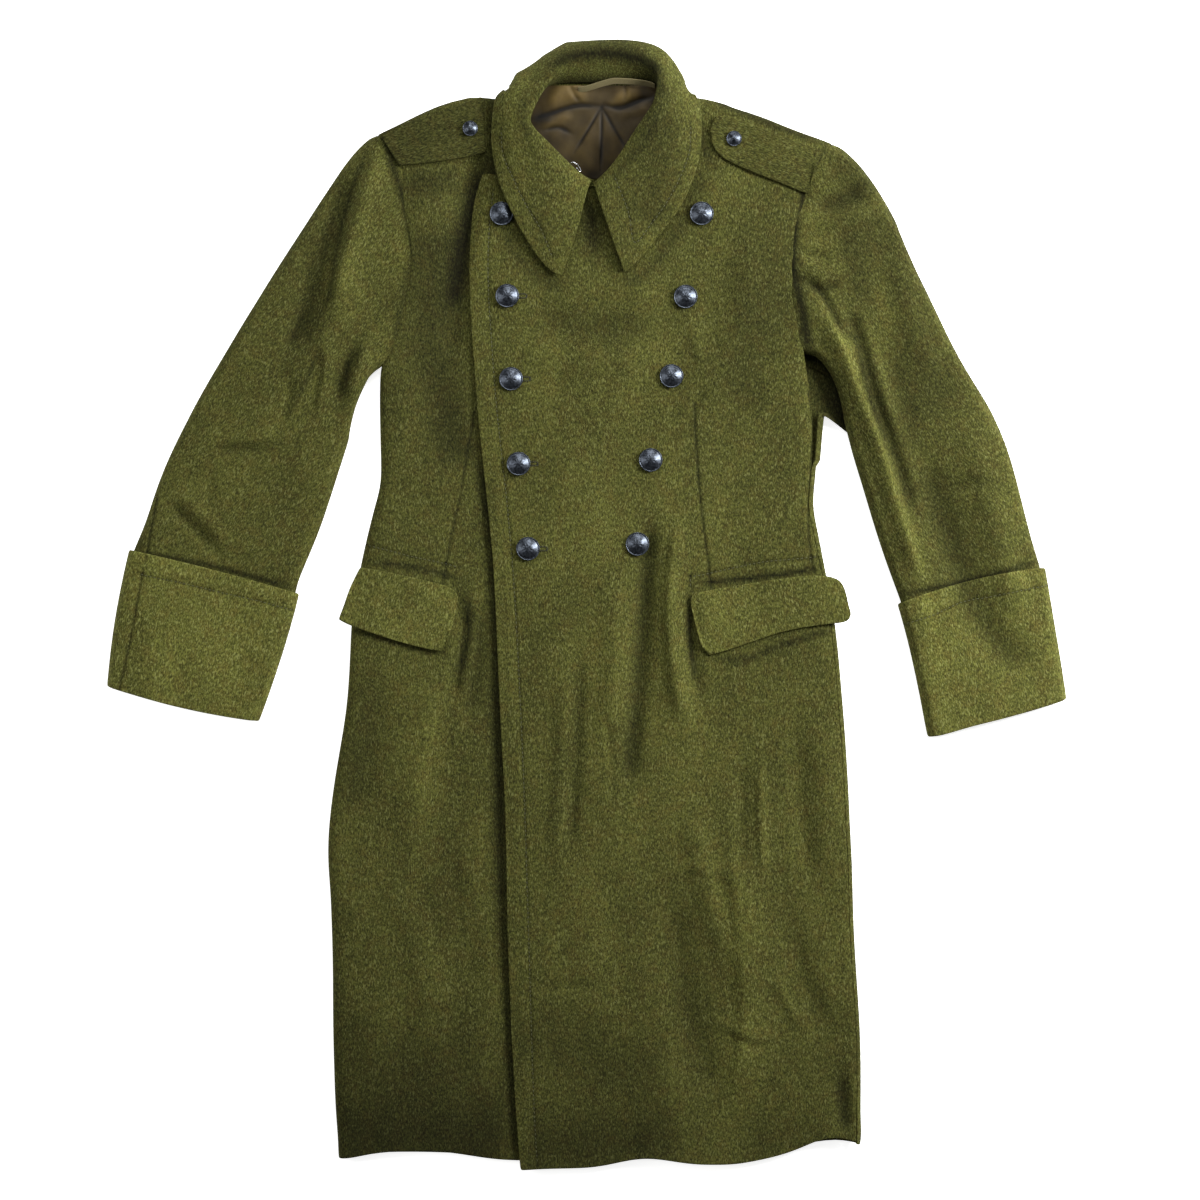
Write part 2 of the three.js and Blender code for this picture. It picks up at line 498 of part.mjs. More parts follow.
function frontGrid(on) {
  const sign = on === 'over' ? 1 : -1;
  const wave = on === 'over' ? hemWave : underHemWave;
  const top = on === 'over' ? overTop : underTop;
  const side = on === 'over' ? 'right' : 'left';
  const rows = bodyRows.map((r) => ({
    sideX: r[side], sideY: r.y, neckX: on === 'over' ? r.free : underFree, neckY: r.y, bow: 0,
  }));
  const grid = [...rows, ...top].map((row, j) => {
    const folded = on === 'under' && row.sideY < leftArmpit;
    const start = THREE.MathUtils.degToRad(folded ? -90 : sideSeamAngle + seamTurn);
    const steps = on === 'over' ? 2 : foldSteps;
    const length = Math.hypot(row.neckX - row.sideX, row.neckY - row.sideY);
    const points = [];
    const startsIn = j >= rows.length || row.sideY > (on === 'over' ? rightArmpit : leftArmpit);
    const skip = startsIn ? sideRoll * (1 - Math.cos(start)) - seamGap : 0;
    for (let i = 0; i < steps; i++) {
      const angle = lerp(start, Math.PI / 2, i / steps);
      const [x, y] = rowPoint(row, Math.max(sideRoll * (1 - Math.cos(angle)) - skip, 0) / length);
      points.push(new THREE.Vector3(x, y, (sideHeight / 2) * (1 + Math.sin(angle))));
    }
    const flatFrom = (sideRoll - skip) / length;
    for (let i = 0; i <= flatSteps[on]; i++) {
      const [x, y] = rowPoint(row, lerp(flatFrom, 1, i / flatSteps[on]));
      points.push(new THREE.Vector3(x, y, frontHeight(on, x, y)));
    }
    if (j < 2) {
      const share = j === 0 ? 1 : 0.25;
      for (const p of points) p.y -= share * column(wave, 'x', p.x, 'drop');
    }
    return points;
  });
  return [...grid, ...shoulderRows(grid.at(-1), sign)];
}

// Carries the last row over the shoulder fold and under it, to the seam with the back
const shoulderTurns = [48, 6, -42, -90];

function shoulderRows(crestRow, sign) {
  return shoulderTurns.map(THREE.MathUtils.degToRad).map((angle) => crestRow.map((p, i) => {
    const before = crestRow[Math.max(i - 1, 0)];
    const after = crestRow[Math.min(i + 1, crestRow.length - 1)];
    const out = new THREE.Vector2(after.y - before.y, before.x - after.x).normalize().multiplyScalar(sign);
    const low = underLift(p.x, p.y + shoulderRoll);
    const reach = shoulderRoll * Math.cos(angle);
    const z = lerp(low, p.z, (1 + Math.sin(angle)) / 2);
    return new THREE.Vector3(p.x + out.x * reach, p.y + out.y * reach, z);
  }));
}

// The back: flat on the surface, its right side rolled up to the seam with the lapping front
const backSteps = 8;
const bowedRows = 6;

function backGrid(topRow) {
  const rows = bodyRows.slice(1).map((r) => ({
    leftX: r.left, leftY: r.y, rightX: r.right, rightY: r.y,
    folded: r.y < leftArmpit, rolled: r.y < rightArmpit,
  }));
  rows.unshift(backHem);
  const seamRows = backTopRows.map(({ leftY, rightY }) => ({
    leftX: sideAt('under', leftY), leftY, rightX: sideAt('over', rightY), rightY,
  }));
  const grid = [...rows, ...seamRows].map((row, j) => {
    const left = row.leftX + (row.folded ? sideRoll + seamGap : armholeGap);
    const right = row.rightX - (row.rolled ? sideRoll : armholeGap);
    const bow = backBow * smooth(j, rows.length - bowedRows, rows.length + seamRows.length);
    const tongue = underarm.find((r) => r.y === row.rightY);
    const spread = row.rolled || tongue ? backSteps : backSteps + foldSteps;
    const points = [];
    for (let i = 0; i <= spread; i++) {
      const t = i / spread;
      const x = lerp(left, right, t);
      const y = lerp(row.leftY, row.rightY, t) + bow * Math.sin(Math.PI * t);
      points.push(new THREE.Vector3(x, y, underLift(x, y)));
    }
    const edge = points.at(-1);
    for (let i = 1; points.length <= backSteps + foldSteps; i++) {
      const share = i / foldSteps;
      const angle = THREE.MathUtils.degToRad(lerp(-90, sideSeamAngle, share));
      const curl = new THREE.Vector3(sideRoll * Math.cos(angle), 0, (sideHeight / 2) * (1 + Math.sin(angle)));
      const run = tongue && new THREE.Vector3(tongue.toX - edge.x, tongue.toY - edge.y, 0);
      points.push(edge.clone().add(tongue ? run.multiplyScalar(share) : curl));
    }
    return points;
  });
  return [...grid, topRow];
}

// The upper edge of the back: along one shoulder seam, round the neck and along the other
function backTop(overEdge, underEdge) {
  const shoulder = (edge, share) => {
    const p = edge[Math.round(share * (edge.length - 1))];
    return [p.x, p.y - shoulderGap];
  };
  const shares = [0, 0.35, 0.7, 1];
  const neckSteps = 4;
  const path = shares.map((share) => shoulder(underEdge, share));
  for (let k = 0; k <= neckSteps; k++) {
    path.push([lerp(backNeckLeft, backNeckRight, k / neckSteps), backNeckY]);
  }
  path.push(...shares.toReversed().map((share) => shoulder(overEdge, share)));
  path[0][0] += shoulderGap;
  path.at(-1)[0] -= shoulderGap;
  return path.map(([x, y]) => new THREE.Vector3(x, y, underLift(x, y)));
}

// A flattened tube: its lower side on the surface, its ends rounded, folds on its upper side
const tubeBottom = 5;
const tubeEnd = 3;
const tubeTop = 9;

function tubeRing(row, on, inset, base) {
  const inner = new THREE.Vector2(row.innerX, row.innerY);
  const outer = new THREE.Vector2(row.outerX, row.outerY);
  const length = inner.distanceTo(outer);
  const along = outer.clone().sub(inner).normalize();
  const bodyward = new THREE.Vector2(along.y, -along.x).multiplyScalar(row.outerX < 0 ? 1 : -1);
  const height = row.height;
  const place = (s, z) => {
    const t = THREE.MathUtils.clamp(s / length, 0, 1);
    const bow = row.bow * Math.sin(Math.PI * t) ** 0.75;
    const p = inner.clone().addScaledVector(along, s).addScaledVector(bodyward, bow);
    if (row.atArmhole) p.x = sideAt(row.atArmhole, p.y) + armholeGap * Math.sign(p.x);
    return new THREE.Vector3(p.x, p.y, base + z);
  };
  const from = inset + tubeRoll;
  const to = length - inset - tubeRoll;
  const ring = [];
  const end = (centre, turn, first) => {
    for (let i = 0; i < tubeEnd; i++) {
      const angle = first + (Math.PI * (i + 0.5)) / tubeEnd;
      const z = (height / 2) * (1 + Math.sin(angle) * turn);
      ring.push(place(centre + turn * tubeRoll * Math.cos(angle), z));
    }
  };
  for (let i = 0; i <= tubeBottom; i++) ring.push(place(lerp(from, to, i / tubeBottom), 0));
  end(to, 1, -Math.PI / 2);
  for (let i = 0; i <= tubeTop; i++) {
    const s = lerp(to, from, i / tubeTop);
    const p = place(s, height);
    const calm = Math.sin(Math.PI * (i / tubeTop)) ** 0.5;
    p.z += calm * (tubeLoft + foldRise(on, p.x, p.y));
    ring.push(p);
  }
  end(from, -1, -Math.PI / 2);
  return ring;
}

function sleeveGrid(rows, cuffRows, on) {
  const body = rows.map((row, j) => {
    const near = smooth(j, rows.length - 3, rows.length - 1);
    return tubeRing(row, on, near * (cuffInset - seamGap), near * cuffInset);
  });
  const height = cuffHeight - 2 * cuffInset - cuffSpare;
  const inside = cuffRows.slice(0, -1).map((row) => {
    return tubeRing({ ...row, height }, 'none', cuffInset + 1, cuffInset);
  });
  return [...body, ...inside];
}

function cuffGrid(cuffRows) {
  return cuffRows.map((row, j) => {
    const height = cuffHeight + (j === 0 ? cuffFlare : 0);
    return tubeRing({ ...row, height }, 'none', 0, 0);
  });
}

// The collar's hidden face: a smooth curve through each station, from the neck seam over the roll.
// Each stretch between two of a station's places has its own number of points.
const standSteps = 3;
const rollSteps = 4;
const fallSteps = 5;

function collarGrid() {
  return collarRows.map((row) => {
    const corners = [row.neck, row.roll, row.mid, row.tuck, row.edge].filter(Boolean);
    const curve = new THREE.CatmullRomCurve3(corners.map((p) => new THREE.Vector3(...p)), false, 'centripetal');
    const spans = corners.length - 1;
    const places = [];
    for (let i = 0; i < standSteps; i++) places.push(i / standSteps);
    for (let i = 0; i < rollSteps; i++) places.push(1 + i / rollSteps);
    for (let i = 0; i <= fallSteps; i++) places.push(2 + (i / fallSteps) * (spans - 2));
    return places.map((place) => {
      const p = curve.getPoint(place / spans);
      p.z = Math.max(p.z, collarCloth);
      return p;
    });
  });
}

// The hanger loop, a tape across the collar's stand, made from the stand's own points moved out
const loopFrom = 12.35;
const loopTo = 15.55;

function loopGrid() {
  const stations = collarGrid();
  const steps = 7;
  return Array.from({ length: steps + 1 }, (_, k) => {
    const place = lerp(loopFrom, loopTo, k / steps);
    const near = stations[Math.floor(place)];
    const next = stations[Math.floor(place) + 1];
    const at = (i) => near[i].clone().lerp(next[i], place % 1);
    const low = at(0);
    const high = at(1);
    const up = high.clone().sub(low).normalize();
    const out = new THREE.Vector3(1, 0, 0).cross(up).normalize();
    const off = collarCloth + layGap + loopCloth + loopBow * Math.sin((Math.PI * k) / steps);
    return [loopLow, loopHigh].map((s) => low.clone().addScaledVector(up, s).addScaledVector(out, off));
  });
}

// A wire hook at the foot of the right stand, bent back on itself
function hookGeometry() {
  const section = new THREE.Shape().absarc(0, 0, hookWire, 0, 2 * Math.PI);
  const path = hookPath.map((p) => new THREE.Vector3(p.x, p.y, p.z));
  const extrudePath = new THREE.CatmullRomCurve3(path, false, 'centripetal');
  return new THREE.ExtrudeGeometry(section, { steps: 14, curveSegments: 3, extrudePath, bevelEnabled: false });
}

// The lining ripples above the back, less towards its lower end
const liningSteps = 8;
const rippleFrom = 455;
const rippleTo = 490;

function liningGrid() {
  return liningRows.map((row) => Array.from({ length: liningSteps + 1 }, (_, i) => {
    const x = lerp(row.left, row.right, i / liningSteps);
    const ripple = (1 + 0.6 * Math.sin(i * 2.2 + row.y / 14)) * smooth(row.y, rippleFrom, rippleTo);
    const z = underLift(x, row.y) + melton + layGap + liningCloth + ripple;
    return new THREE.Vector3(x, row.y, z);
  }));
}

// A piece that lies on a front: made from the front's own heights, moved out
function laidGrid(rows, on, steps, spare) {
  return rows.map((row) => Array.from({ length: steps + 1 }, (_, i) => {
    const x = lerp(row.topX, row.lowX, i / steps);
    const y = lerp(row.topY, row.lowY, i / steps);
    const inFrom = Math.abs(sideAt(on, y));
    const held = Math.sign(x) * Math.min(Math.abs(x), inFrom - sideRoll);
    return new THREE.Vector3(x, y, frontHeight(on, held, y) + layGap + strapCloth + spare);
  }));
}

// A domed metal button with a rolled rim and a shank, turned about its own axis
function buttonGeometry(radius, height, shank) {
  const profile = [
    [0, 0], [radius * 0.22, 0], [radius * 0.22, shank], [radius * 0.92, shank],
    [radius, shank + height * 0.2], [radius * 0.84, shank + height * 0.48],
    [radius * 0.5, shank + height * 0.86], [0, shank + height],
  ];
  const geometry = new THREE.LatheGeometry(profile.map(([r, z]) => new THREE.Vector2(r, z)), 12);
  return geometry.rotateX(Math.PI / 2);
}

function placeButton(mesh, on, x, y, lift) {
  const step = 8;
  const z = frontHeight(on, x, y);
  const slopeX = (frontHeight(on, x + step, y) - frontHeight(on, x - step, y)) / (2 * step);
  const slopeY = (frontHeight(on, x, y + step) - frontHeight(on, x, y - step)) / (2 * step);
  const normal = new THREE.Vector3(-slopeX, -slopeY, 1).normalize();
  mesh.quaternion.setFromUnitVectors(new THREE.Vector3(0, 0, 1), normal);
  mesh.position.set(x, y, z).addScaledVector(normal, lift);
}

function fabric(color, roughness = 0.95) {
  return new THREE.MeshStandardMaterial({ color, roughness, metalness: 0 });
}

function metal(color) {
  return new THREE.MeshStandardMaterial({ color, roughness: 0.32, metalness: 0.9 });
}

const coat = new THREE.Group();

function add(name, geometry, material) {
  const mesh = new THREE.Mesh(geometry, material);
  mesh.name = name;
  coat.add(mesh);
  return mesh;
}

const overGrid = frontGrid('over');
const underGrid = frontGrid('under');
add('back', wallFromGrid(backGrid(backTop(overGrid.at(-1), underGrid.at(-1))), melton), fabric(oliveDark));
add('right_front', wallFromGrid(underGrid, -melton), fabric(olive));
add('left_front', wallFromGrid(overGrid, melton), fabric(olive));
const rightSleeve = sleeveGrid(rightSleeveRows, rightCuffRows, 'rightSleeve');
const leftSleeve = sleeveGrid(leftSleeveRows, leftCuffRows, 'leftSleeve');
add('right_sleeve', wallFromGrid(rightSleeve, melton, true), fabric(olive));
add('left_sleeve', wallFromGrid(leftSleeve, -melton, true), fabric(olive));
add('right_cuff', wallFromGrid(cuffGrid(rightCuffRows), melton, true), fabric(oliveDark));
add('left_cuff', wallFromGrid(cuffGrid(leftCuffRows), -melton, true), fabric(oliveDark));
add('collar', wallFromGrid(collarGrid(), -collarCloth), fabric(olive));
add('neck_lining', wallFromGrid(liningGrid(), -liningCloth), fabric(brownLining, 0.7));
add('hanger_loop', wallFromGrid(loopGrid(), -loopCloth), fabric(tanTape, 0.7));
add('collar_hook', hookGeometry(), metal(silver));
for (const piece of laidPieces) {
  const grid = laidGrid(piece.rows, piece.on, piece.steps, piece.spare);
  add(piece.name, wallFromGrid(grid, -strapCloth), fabric(olive));
}

for (const button of buttons) {
  const mesh = add(button.name, buttonGeometry(buttonRadius, buttonHeight, shankHeight), metal(gunmetal));
  placeButton(mesh, button.on, button.x, button.y, layGap);
}
for (const button of strapButtons) {
  const mesh = add(button.name, buttonGeometry(strapButtonRadius, strapButtonHeight, 1), metal(gunmetal));
  placeButton(mesh, button.on, button.x, button.y, 2 * layGap + strapCloth + button.spare);
}

export default coat;
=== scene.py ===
# Military greatcoat laid flat, front up: the looks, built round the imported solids
import math

import bmesh
import bpy
import numpy as np
from mathutils import Matrix, Vector
from mathutils.bvhtree import BVHTree


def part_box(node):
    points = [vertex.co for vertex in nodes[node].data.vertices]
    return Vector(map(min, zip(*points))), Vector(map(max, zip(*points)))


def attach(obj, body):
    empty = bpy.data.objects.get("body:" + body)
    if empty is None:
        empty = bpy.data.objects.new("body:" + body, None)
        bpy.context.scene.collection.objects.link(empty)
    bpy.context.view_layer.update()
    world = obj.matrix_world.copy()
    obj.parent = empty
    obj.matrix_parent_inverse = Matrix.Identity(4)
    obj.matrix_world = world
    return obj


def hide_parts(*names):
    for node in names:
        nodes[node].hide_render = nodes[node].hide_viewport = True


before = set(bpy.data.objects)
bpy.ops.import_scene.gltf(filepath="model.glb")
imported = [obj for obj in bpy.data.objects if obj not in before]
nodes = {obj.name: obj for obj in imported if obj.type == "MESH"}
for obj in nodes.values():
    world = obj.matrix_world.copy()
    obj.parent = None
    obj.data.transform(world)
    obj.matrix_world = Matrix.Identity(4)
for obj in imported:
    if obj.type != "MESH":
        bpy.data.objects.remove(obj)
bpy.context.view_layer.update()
scene = bpy.context.scene
mm = 0.001

# Camera, floor and light

studio = {
    "viewCentre": (14.3, 3.7, 12.0),     # mm, the middle of the picture
    "viewWidth": 1272.0,                 # mm of the coat across the picture
    "cameraHeight": 3.0,                 # m above that point
    "floorColour": "#f4f4f2",
    "floorSide": 60.0,                   # m
    "floorGlow": 0.8,                    # the paper is lit from below as well, so that it stays pale
    "skyStrength": 0.14,
}

# A key box low on the wearer's left, a weaker one opposite it and one at the collar end
softBoxes = [
    {"name": "softBoxKey", "place": (1.75, 0.75, 1.0), "side": 0.7, "watts": 92.0},
    {"name": "softBoxFill", "place": (-1.6, 0.2, 1.1), "side": 1.1, "watts": 15.0},
    {"name": "softBoxTop", "place": (0.1, 1.6, 1.2), "side": 1.0, "watts": 24.0},
]


def table(columns, rows):
    # rows with named columns; a row may leave out the last ones
    return [dict(zip(columns, row)) for row in rows]


def linear(hexColour):
    parts = [int(hexColour[i:i + 2], 16) / 255 for i in (1, 3, 5)]
    return [c / 12.92 if c <= 0.04045 else ((c + 0.055) / 1.055) ** 2.4 for c in parts] + [1.0]


def addNode(tree, kind, settings):
    # stops are a colour ramp's, an output of another node is linked, and the rest are values
    node = tree.nodes.new(kind)
    for name, value in settings.items():
        if name == "stops":
            elements = node.color_ramp.elements
            while len(elements) < len(value):
                elements.new(0.5)
            for element, (place, colour) in zip(elements, value):
                element.position = place
                element.color = colour
        elif isinstance(value, bpy.types.NodeSocket):
            tree.links.new(value, node.inputs[name])
        elif isinstance(name, int) or name in node.inputs:
            node.inputs[name].default_value = value
        else:
            setattr(node, name, value)
    return node


def newMaterial(name):
    material = bpy.data.materials.new(name)
    material.use_nodes = True
    tree = material.node_tree
    shader = tree.nodes["Principled BSDF"]
    where = addNode(tree, "ShaderNodeTexCoord", {}).outputs["Object"]
    return material, tree, shader, where


def aimAt(thing, target):
    thing.rotation_mode = "QUATERNION"
    thing.rotation_quaternion = (Vector(target) - thing.location).to_track_quat("-Z", "Y")


def buildStudio():
    centre = Vector(studio["viewCentre"]) * mm
    camera = bpy.data.objects.new("camera", bpy.data.cameras.new("camera"))
    camera.data.sensor_width = 36.0
    camera.data.lens = 36.0 * studio["cameraHeight"] / (studio["viewWidth"] * mm)
    camera.location = centre + Vector((0, 0, studio["cameraHeight"]))
    scene.collection.objects.link(camera)
    scene.camera = camera

    for box in softBoxes:
        light = bpy.data.lights.new(box["name"], "AREA")
        light.size = box["side"]
        light.energy = box["watts"]
        lamp = bpy.data.objects.new(box["name"], light)
        lamp.location = box["place"]
        aimAt(lamp, (0, 0, 0))
        scene.collection.objects.link(lamp)

    bm = bmesh.new()
    bmesh.ops.create_grid(bm, x_segments=1, y_segments=1, size=studio["floorSide"] / 2)
    mesh = bpy.data.meshes.new("floor")
    bm.to_mesh(mesh)
    bm.free()
    floor = bpy.data.objects.new("floor", mesh)
    scene.collection.objects.link(floor)
    paint, _, shader, _ = newMaterial("paleFloor")      # matt white paper sweep
    shader.inputs["Base Color"].default_value = linear(studio["floorColour"])
    shader.inputs["Roughness"].default_value = 0.9
    shader.inputs["Emission Color"].default_value = (1, 1, 1, 1)
    shader.inputs["Emission Strength"].default_value = studio["floorGlow"]
    mesh.materials.append(paint)

    world = bpy.data.worlds.new("studioAir")
    world.use_nodes = True
    world.node_tree.nodes["Background"].inputs["Color"].default_value = (1, 1, 1, 1)
    world.node_tree.nodes["Background"].inputs["Strength"].default_value = studio["skyStrength"]
    scene.world = world
    scene.view_settings.view_transform = "Standard"


buildStudio()
print("studio: camera, floor and soft boxes")

# Wool melton: milled until its weave is gone, so what shows is a felted nap of olive, pale and rust
# fibres that lie mostly along the grain, patches of shade, and no gloss but a faint fuzz at grazing angles

wool = {
    "olive": "#3d3e1a",
    "oliveDark": "#323314",
    "oliveLight": "#474920",
    "rust": "#423617",
    "paleFibre": "#6b6d3e",
    "patchSize": 42.0,       # mm, slow changes of shade, drawn out along the cloth
    "patchDrawn": 0.45,
    "mottleSize": 3.0,       # mm, felted clumps
    "rustSize": 16.0,        # mm
    "napAcross": 1.0,        # mm, fibre bundles, drawn a little coarse so that they show
    "napAlong": 2.8,
    "roughness": 0.95,
    "sheen": 0.05,
    "bumpDepth": 0.35,       # mm
}


def melton(name, grain=0.0, paintedBrightness=1.0):
    material, tree, shader, where = newMaterial(name)
    turned = addNode(tree, "ShaderNodeMapping", {"Rotation": (0, 0, -math.radians(grain)), "Vector": where}).outputs[0]
    squeeze = wool["napAcross"] / wool["napAlong"]
    along = addNode(tree, "ShaderNodeMapping", {"Scale": (1, squeeze, 1), "Vector": turned}).outputs[0]
    drawn = addNode(tree, "ShaderNodeMapping", {"Scale": (1, wool["patchDrawn"], 1), "Vector": turned}).outputs[0]

    def grey(value):
        return (value, value, value, 1)

    # a colour of the wool times the piece's painted brightness, its painted light and shade
    def shade(hexColour):
        return [c * paintedBrightness for c in linear(hexColour)[:3]] + [1.0]

    # each pattern: its noise and the ramp that it is read through
    noise, seen = {}, {}
    for layer, vector, size, detail, roughness, stops in (
            ("patches", drawn, wool["patchSize"], 4, 0.55, [(0.34, grey(0.7)), (0.66, grey(1.26))]),
            ("mottle", turned, wool["mottleSize"], 4, 0.6, [(0.36, shade(wool["oliveDark"])),
                                                            (0.5, shade(wool["olive"])),
                                                            (0.66, shade(wool["oliveLight"]))]),
            ("nap", along, wool["napAcross"], 3, 0.65, [(0.38, grey(0.4)), (0.5, grey(0.98)), (0.64, grey(1.72))]),
            ("fibres", along, wool["napAcross"] * 1.5, 2, 0.5, [(0.56, grey(0)), (0.68, grey(0.6))]),
            ("rust", turned, wool["rustSize"], 5, 0.7, [(0.45, grey(0)), (0.75, grey(0.5))])):
        noise[layer] = addNode(tree, "ShaderNodeTexNoise", {
            "Scale": 1 / (size * mm), "Detail": detail, "Roughness": roughness, "Vector": vector}).outputs["Fac"]
        seen[layer] = addNode(tree, "ShaderNodeValToRGB", {"stops": stops, "Fac": noise[layer]}).outputs["Color"]

    # painted shade and painted light from the stroke tables, which the colour is multiplied by
    paintedShadeAndLight = addNode(tree, "ShaderNodeAttribute", {"attribute_name": "nap"}).outputs["Color"]
    base = seen["mottle"]
    for blend, factor, colour in (
            ("MIX", seen["rust"], shade(wool["rust"])),
            ("MULTIPLY", 0.65, seen["patches"]),
            ("MULTIPLY", 0.9, seen["nap"]),
            ("MIX", seen["fibres"], shade(wool["paleFibre"])),
            ("MULTIPLY", 1.0, paintedShadeAndLight)):
        base = addNode(tree, "ShaderNodeMix", {"data_type": "RGBA", "blend_type": blend, 0: factor, 6: base,
                                               7: colour}).outputs[2]
    tree.links.new(base, shader.inputs["Base Color"])

    relief = addNode(tree, "ShaderNodeMath", {"operation": "MULTIPLY_ADD", 0: noise["mottle"], 1: 0.6, 2: noise["nap"]})
    bump = addNode(tree, "ShaderNodeBump", {"Strength": 0.7, "Distance": wool["bumpDepth"] * mm,
                                            "Height": relief.outputs[0]})
    tree.links.new(bump.outputs["Normal"], shader.inputs["Normal"])
    shader.inputs["Roughness"].default_value = wool["roughness"]
    shader.inputs["Specular IOR Level"].default_value = 0.1
    shader.inputs["Sheen Weight"].default_value = wool["sheen"]
    shader.inputs["Sheen Roughness"].default_value = 0.5
    shader.inputs["Sheen Tint"].default_value = linear(wool["oliveLight"])
    return material


# Twill lining: smooth rayon or cotton, its diagonal rib too fine for more than a soft low shine

lining = {
    "brown": "#352b14",
    "brownDark": "#2b220f",
    "ribPitch": 0.9,         # mm, drawn twice as coarse as the real rib so that it shows
    "roughness": 0.55,
}


def liningTwill(name):
    material, tree, shader, where = newMaterial(name)
    turned = addNode(tree, "ShaderNodeMapping", {"Rotation": (0, 0, math.radians(40)), "Vector": where})
    ribs = addNode(tree, "ShaderNodeTexWave", {"Scale": 1 / (lining["ribPitch"] * mm) / 3.2, "Distortion": 1.2,
                                               "Detail Scale": 1.0, "Vector": turned.outputs["Vector"]})
    cloudy = addNode(tree, "ShaderNodeTexNoise", {"Scale": 60.0, "Detail": 3.0, "Vector": where})
    tint = addNode(tree, "ShaderNodeValToRGB", {"stops": [(0.35, linear(lining["brownDark"])),
                                                          (0.62, linear(lining["brown"]))],
                                                "Fac": cloudy.outputs["Fac"]})
    # painted shade in the lining's creases and pockets, painted light on its lobes and ridges
    paintedShadeAndLight = addNode(tree, "ShaderNodeAttribute", {"attribute_name": "nap"})
    shaded = addNode(tree, "ShaderNodeMix", {"data_type": "RGBA", "blend_type": "MULTIPLY", 0: 1.0,
                                             6: tint.outputs["Color"], 7: paintedShadeAndLight.outputs["Color"]})
    tree.links.new(shaded.outputs[2], shader.inputs["Base Color"])
    bump = addNode(tree, "ShaderNodeBump", {"Strength": 0.35, "Distance": 0.1 * mm, "Height": ribs.outputs["Fac"]})
    tree.links.new(bump.outputs["Normal"], shader.inputs["Normal"])
    shader.inputs["Roughness"].default_value = lining["roughness"]
    shader.inputs["Specular IOR Level"].default_value = 0.18
    return material


# Cotton tape: a flat herringbone weave, matt

def cottonTape(name):
    material, tree, shader, where = newMaterial(name)
    weave = addNode(tree, "ShaderNodeTexWave", {"Scale": 480.0, "Distortion": 2.0, "bands_direction": "DIAGONAL",
                                                "Vector": where}).outputs["Fac"]
    tint = addNode(tree, "ShaderNodeValToRGB", {"stops": [(0, linear("#4f4829")), (1, linear("#6a6140"))],
                                                "Fac": weave})
    tree.links.new(tint.outputs["Color"], shader.inputs["Base Color"])
    bump = addNode(tree, "ShaderNodeBump", {"Strength": 0.4, "Distance": 0.15 * mm, "Height": weave})
    tree.links.new(bump.outputs["Normal"], shader.inputs["Normal"])
    shader.inputs["Roughness"].default_value = 0.85
    return material


# Blackened steel buttons: pressed, oxidised blue-grey, polished on the high spots by handling

def blackenedSteel(name):
    material, tree, shader, where = newMaterial(name)
    scuffs = addNode(tree, "ShaderNodeTexNoise", {"Scale": 420.0, "Detail": 4.0, "Vector": where}).outputs["Fac"]
    tint = addNode(tree, "ShaderNodeValToRGB", {"stops": [(0.3, linear("#2b2e33")), (0.75, linear("#595f68"))],
                                                "Fac": scuffs})
    tree.links.new(tint.outputs["Color"], shader.inputs["Base Color"])
    gloss = addNode(tree, "ShaderNodeMapRange", {"To Min": 0.3, "To Max": 0.5, "Value": scuffs})
    tree.links.new(gloss.outputs["Result"], shader.inputs["Roughness"])
    shader.inputs["Metallic"].default_value = 1.0
    return material


# Drawn nickel wire: bright, with faint lines along it

def nickelWire(name):
    material, tree, shader, where = newMaterial(name)
    drawn = addNode(tree, "ShaderNodeTexNoise", {"Scale": 900.0, "Detail": 2.0, "Vector": where}).outputs["Fac"]
    gloss = addNode(tree, "ShaderNodeMapRange", {"To Min": 0.18, "To Max": 0.34, "Value": drawn})
    tree.links.new(gloss.outputs["Result"], shader.inputs["Roughness"])
    shader.inputs["Base Color"].default_value = linear("#c9cbce")
    shader.inputs["Metallic"].default_value = 1.0
    return material


# Waxed sewing thread: hard twisted, with a dull sheen, its colour close to the cloth's

def sewingThread(name, colour):
    material, tree, shader, where = newMaterial(name)
    twist = addNode(tree, "ShaderNodeTexNoise", {"Scale": 2600.0, "Detail": 1.0, "Vector": where}).outputs["Fac"]
    dark = [c * 0.7 for c in linear(colour)[:3]] + [1.0]
    tint = addNode(tree, "ShaderNodeValToRGB", {"stops": [(0, dark), (1, linear(colour))], "Fac": twist})
    tree.links.new(tint.outputs["Color"], shader.inputs["Base Color"])
    shader.inputs["Roughness"].default_value = 0.7
    return material


# Folds as the heavy cloth lies, in mm on the plan of the coat: rise is up from the smooth form, width is how
# far the fold reaches to each side, and steep says which side is the steep one (1 is left of the path's run).
# Pieces that lie on one another take the same folds.

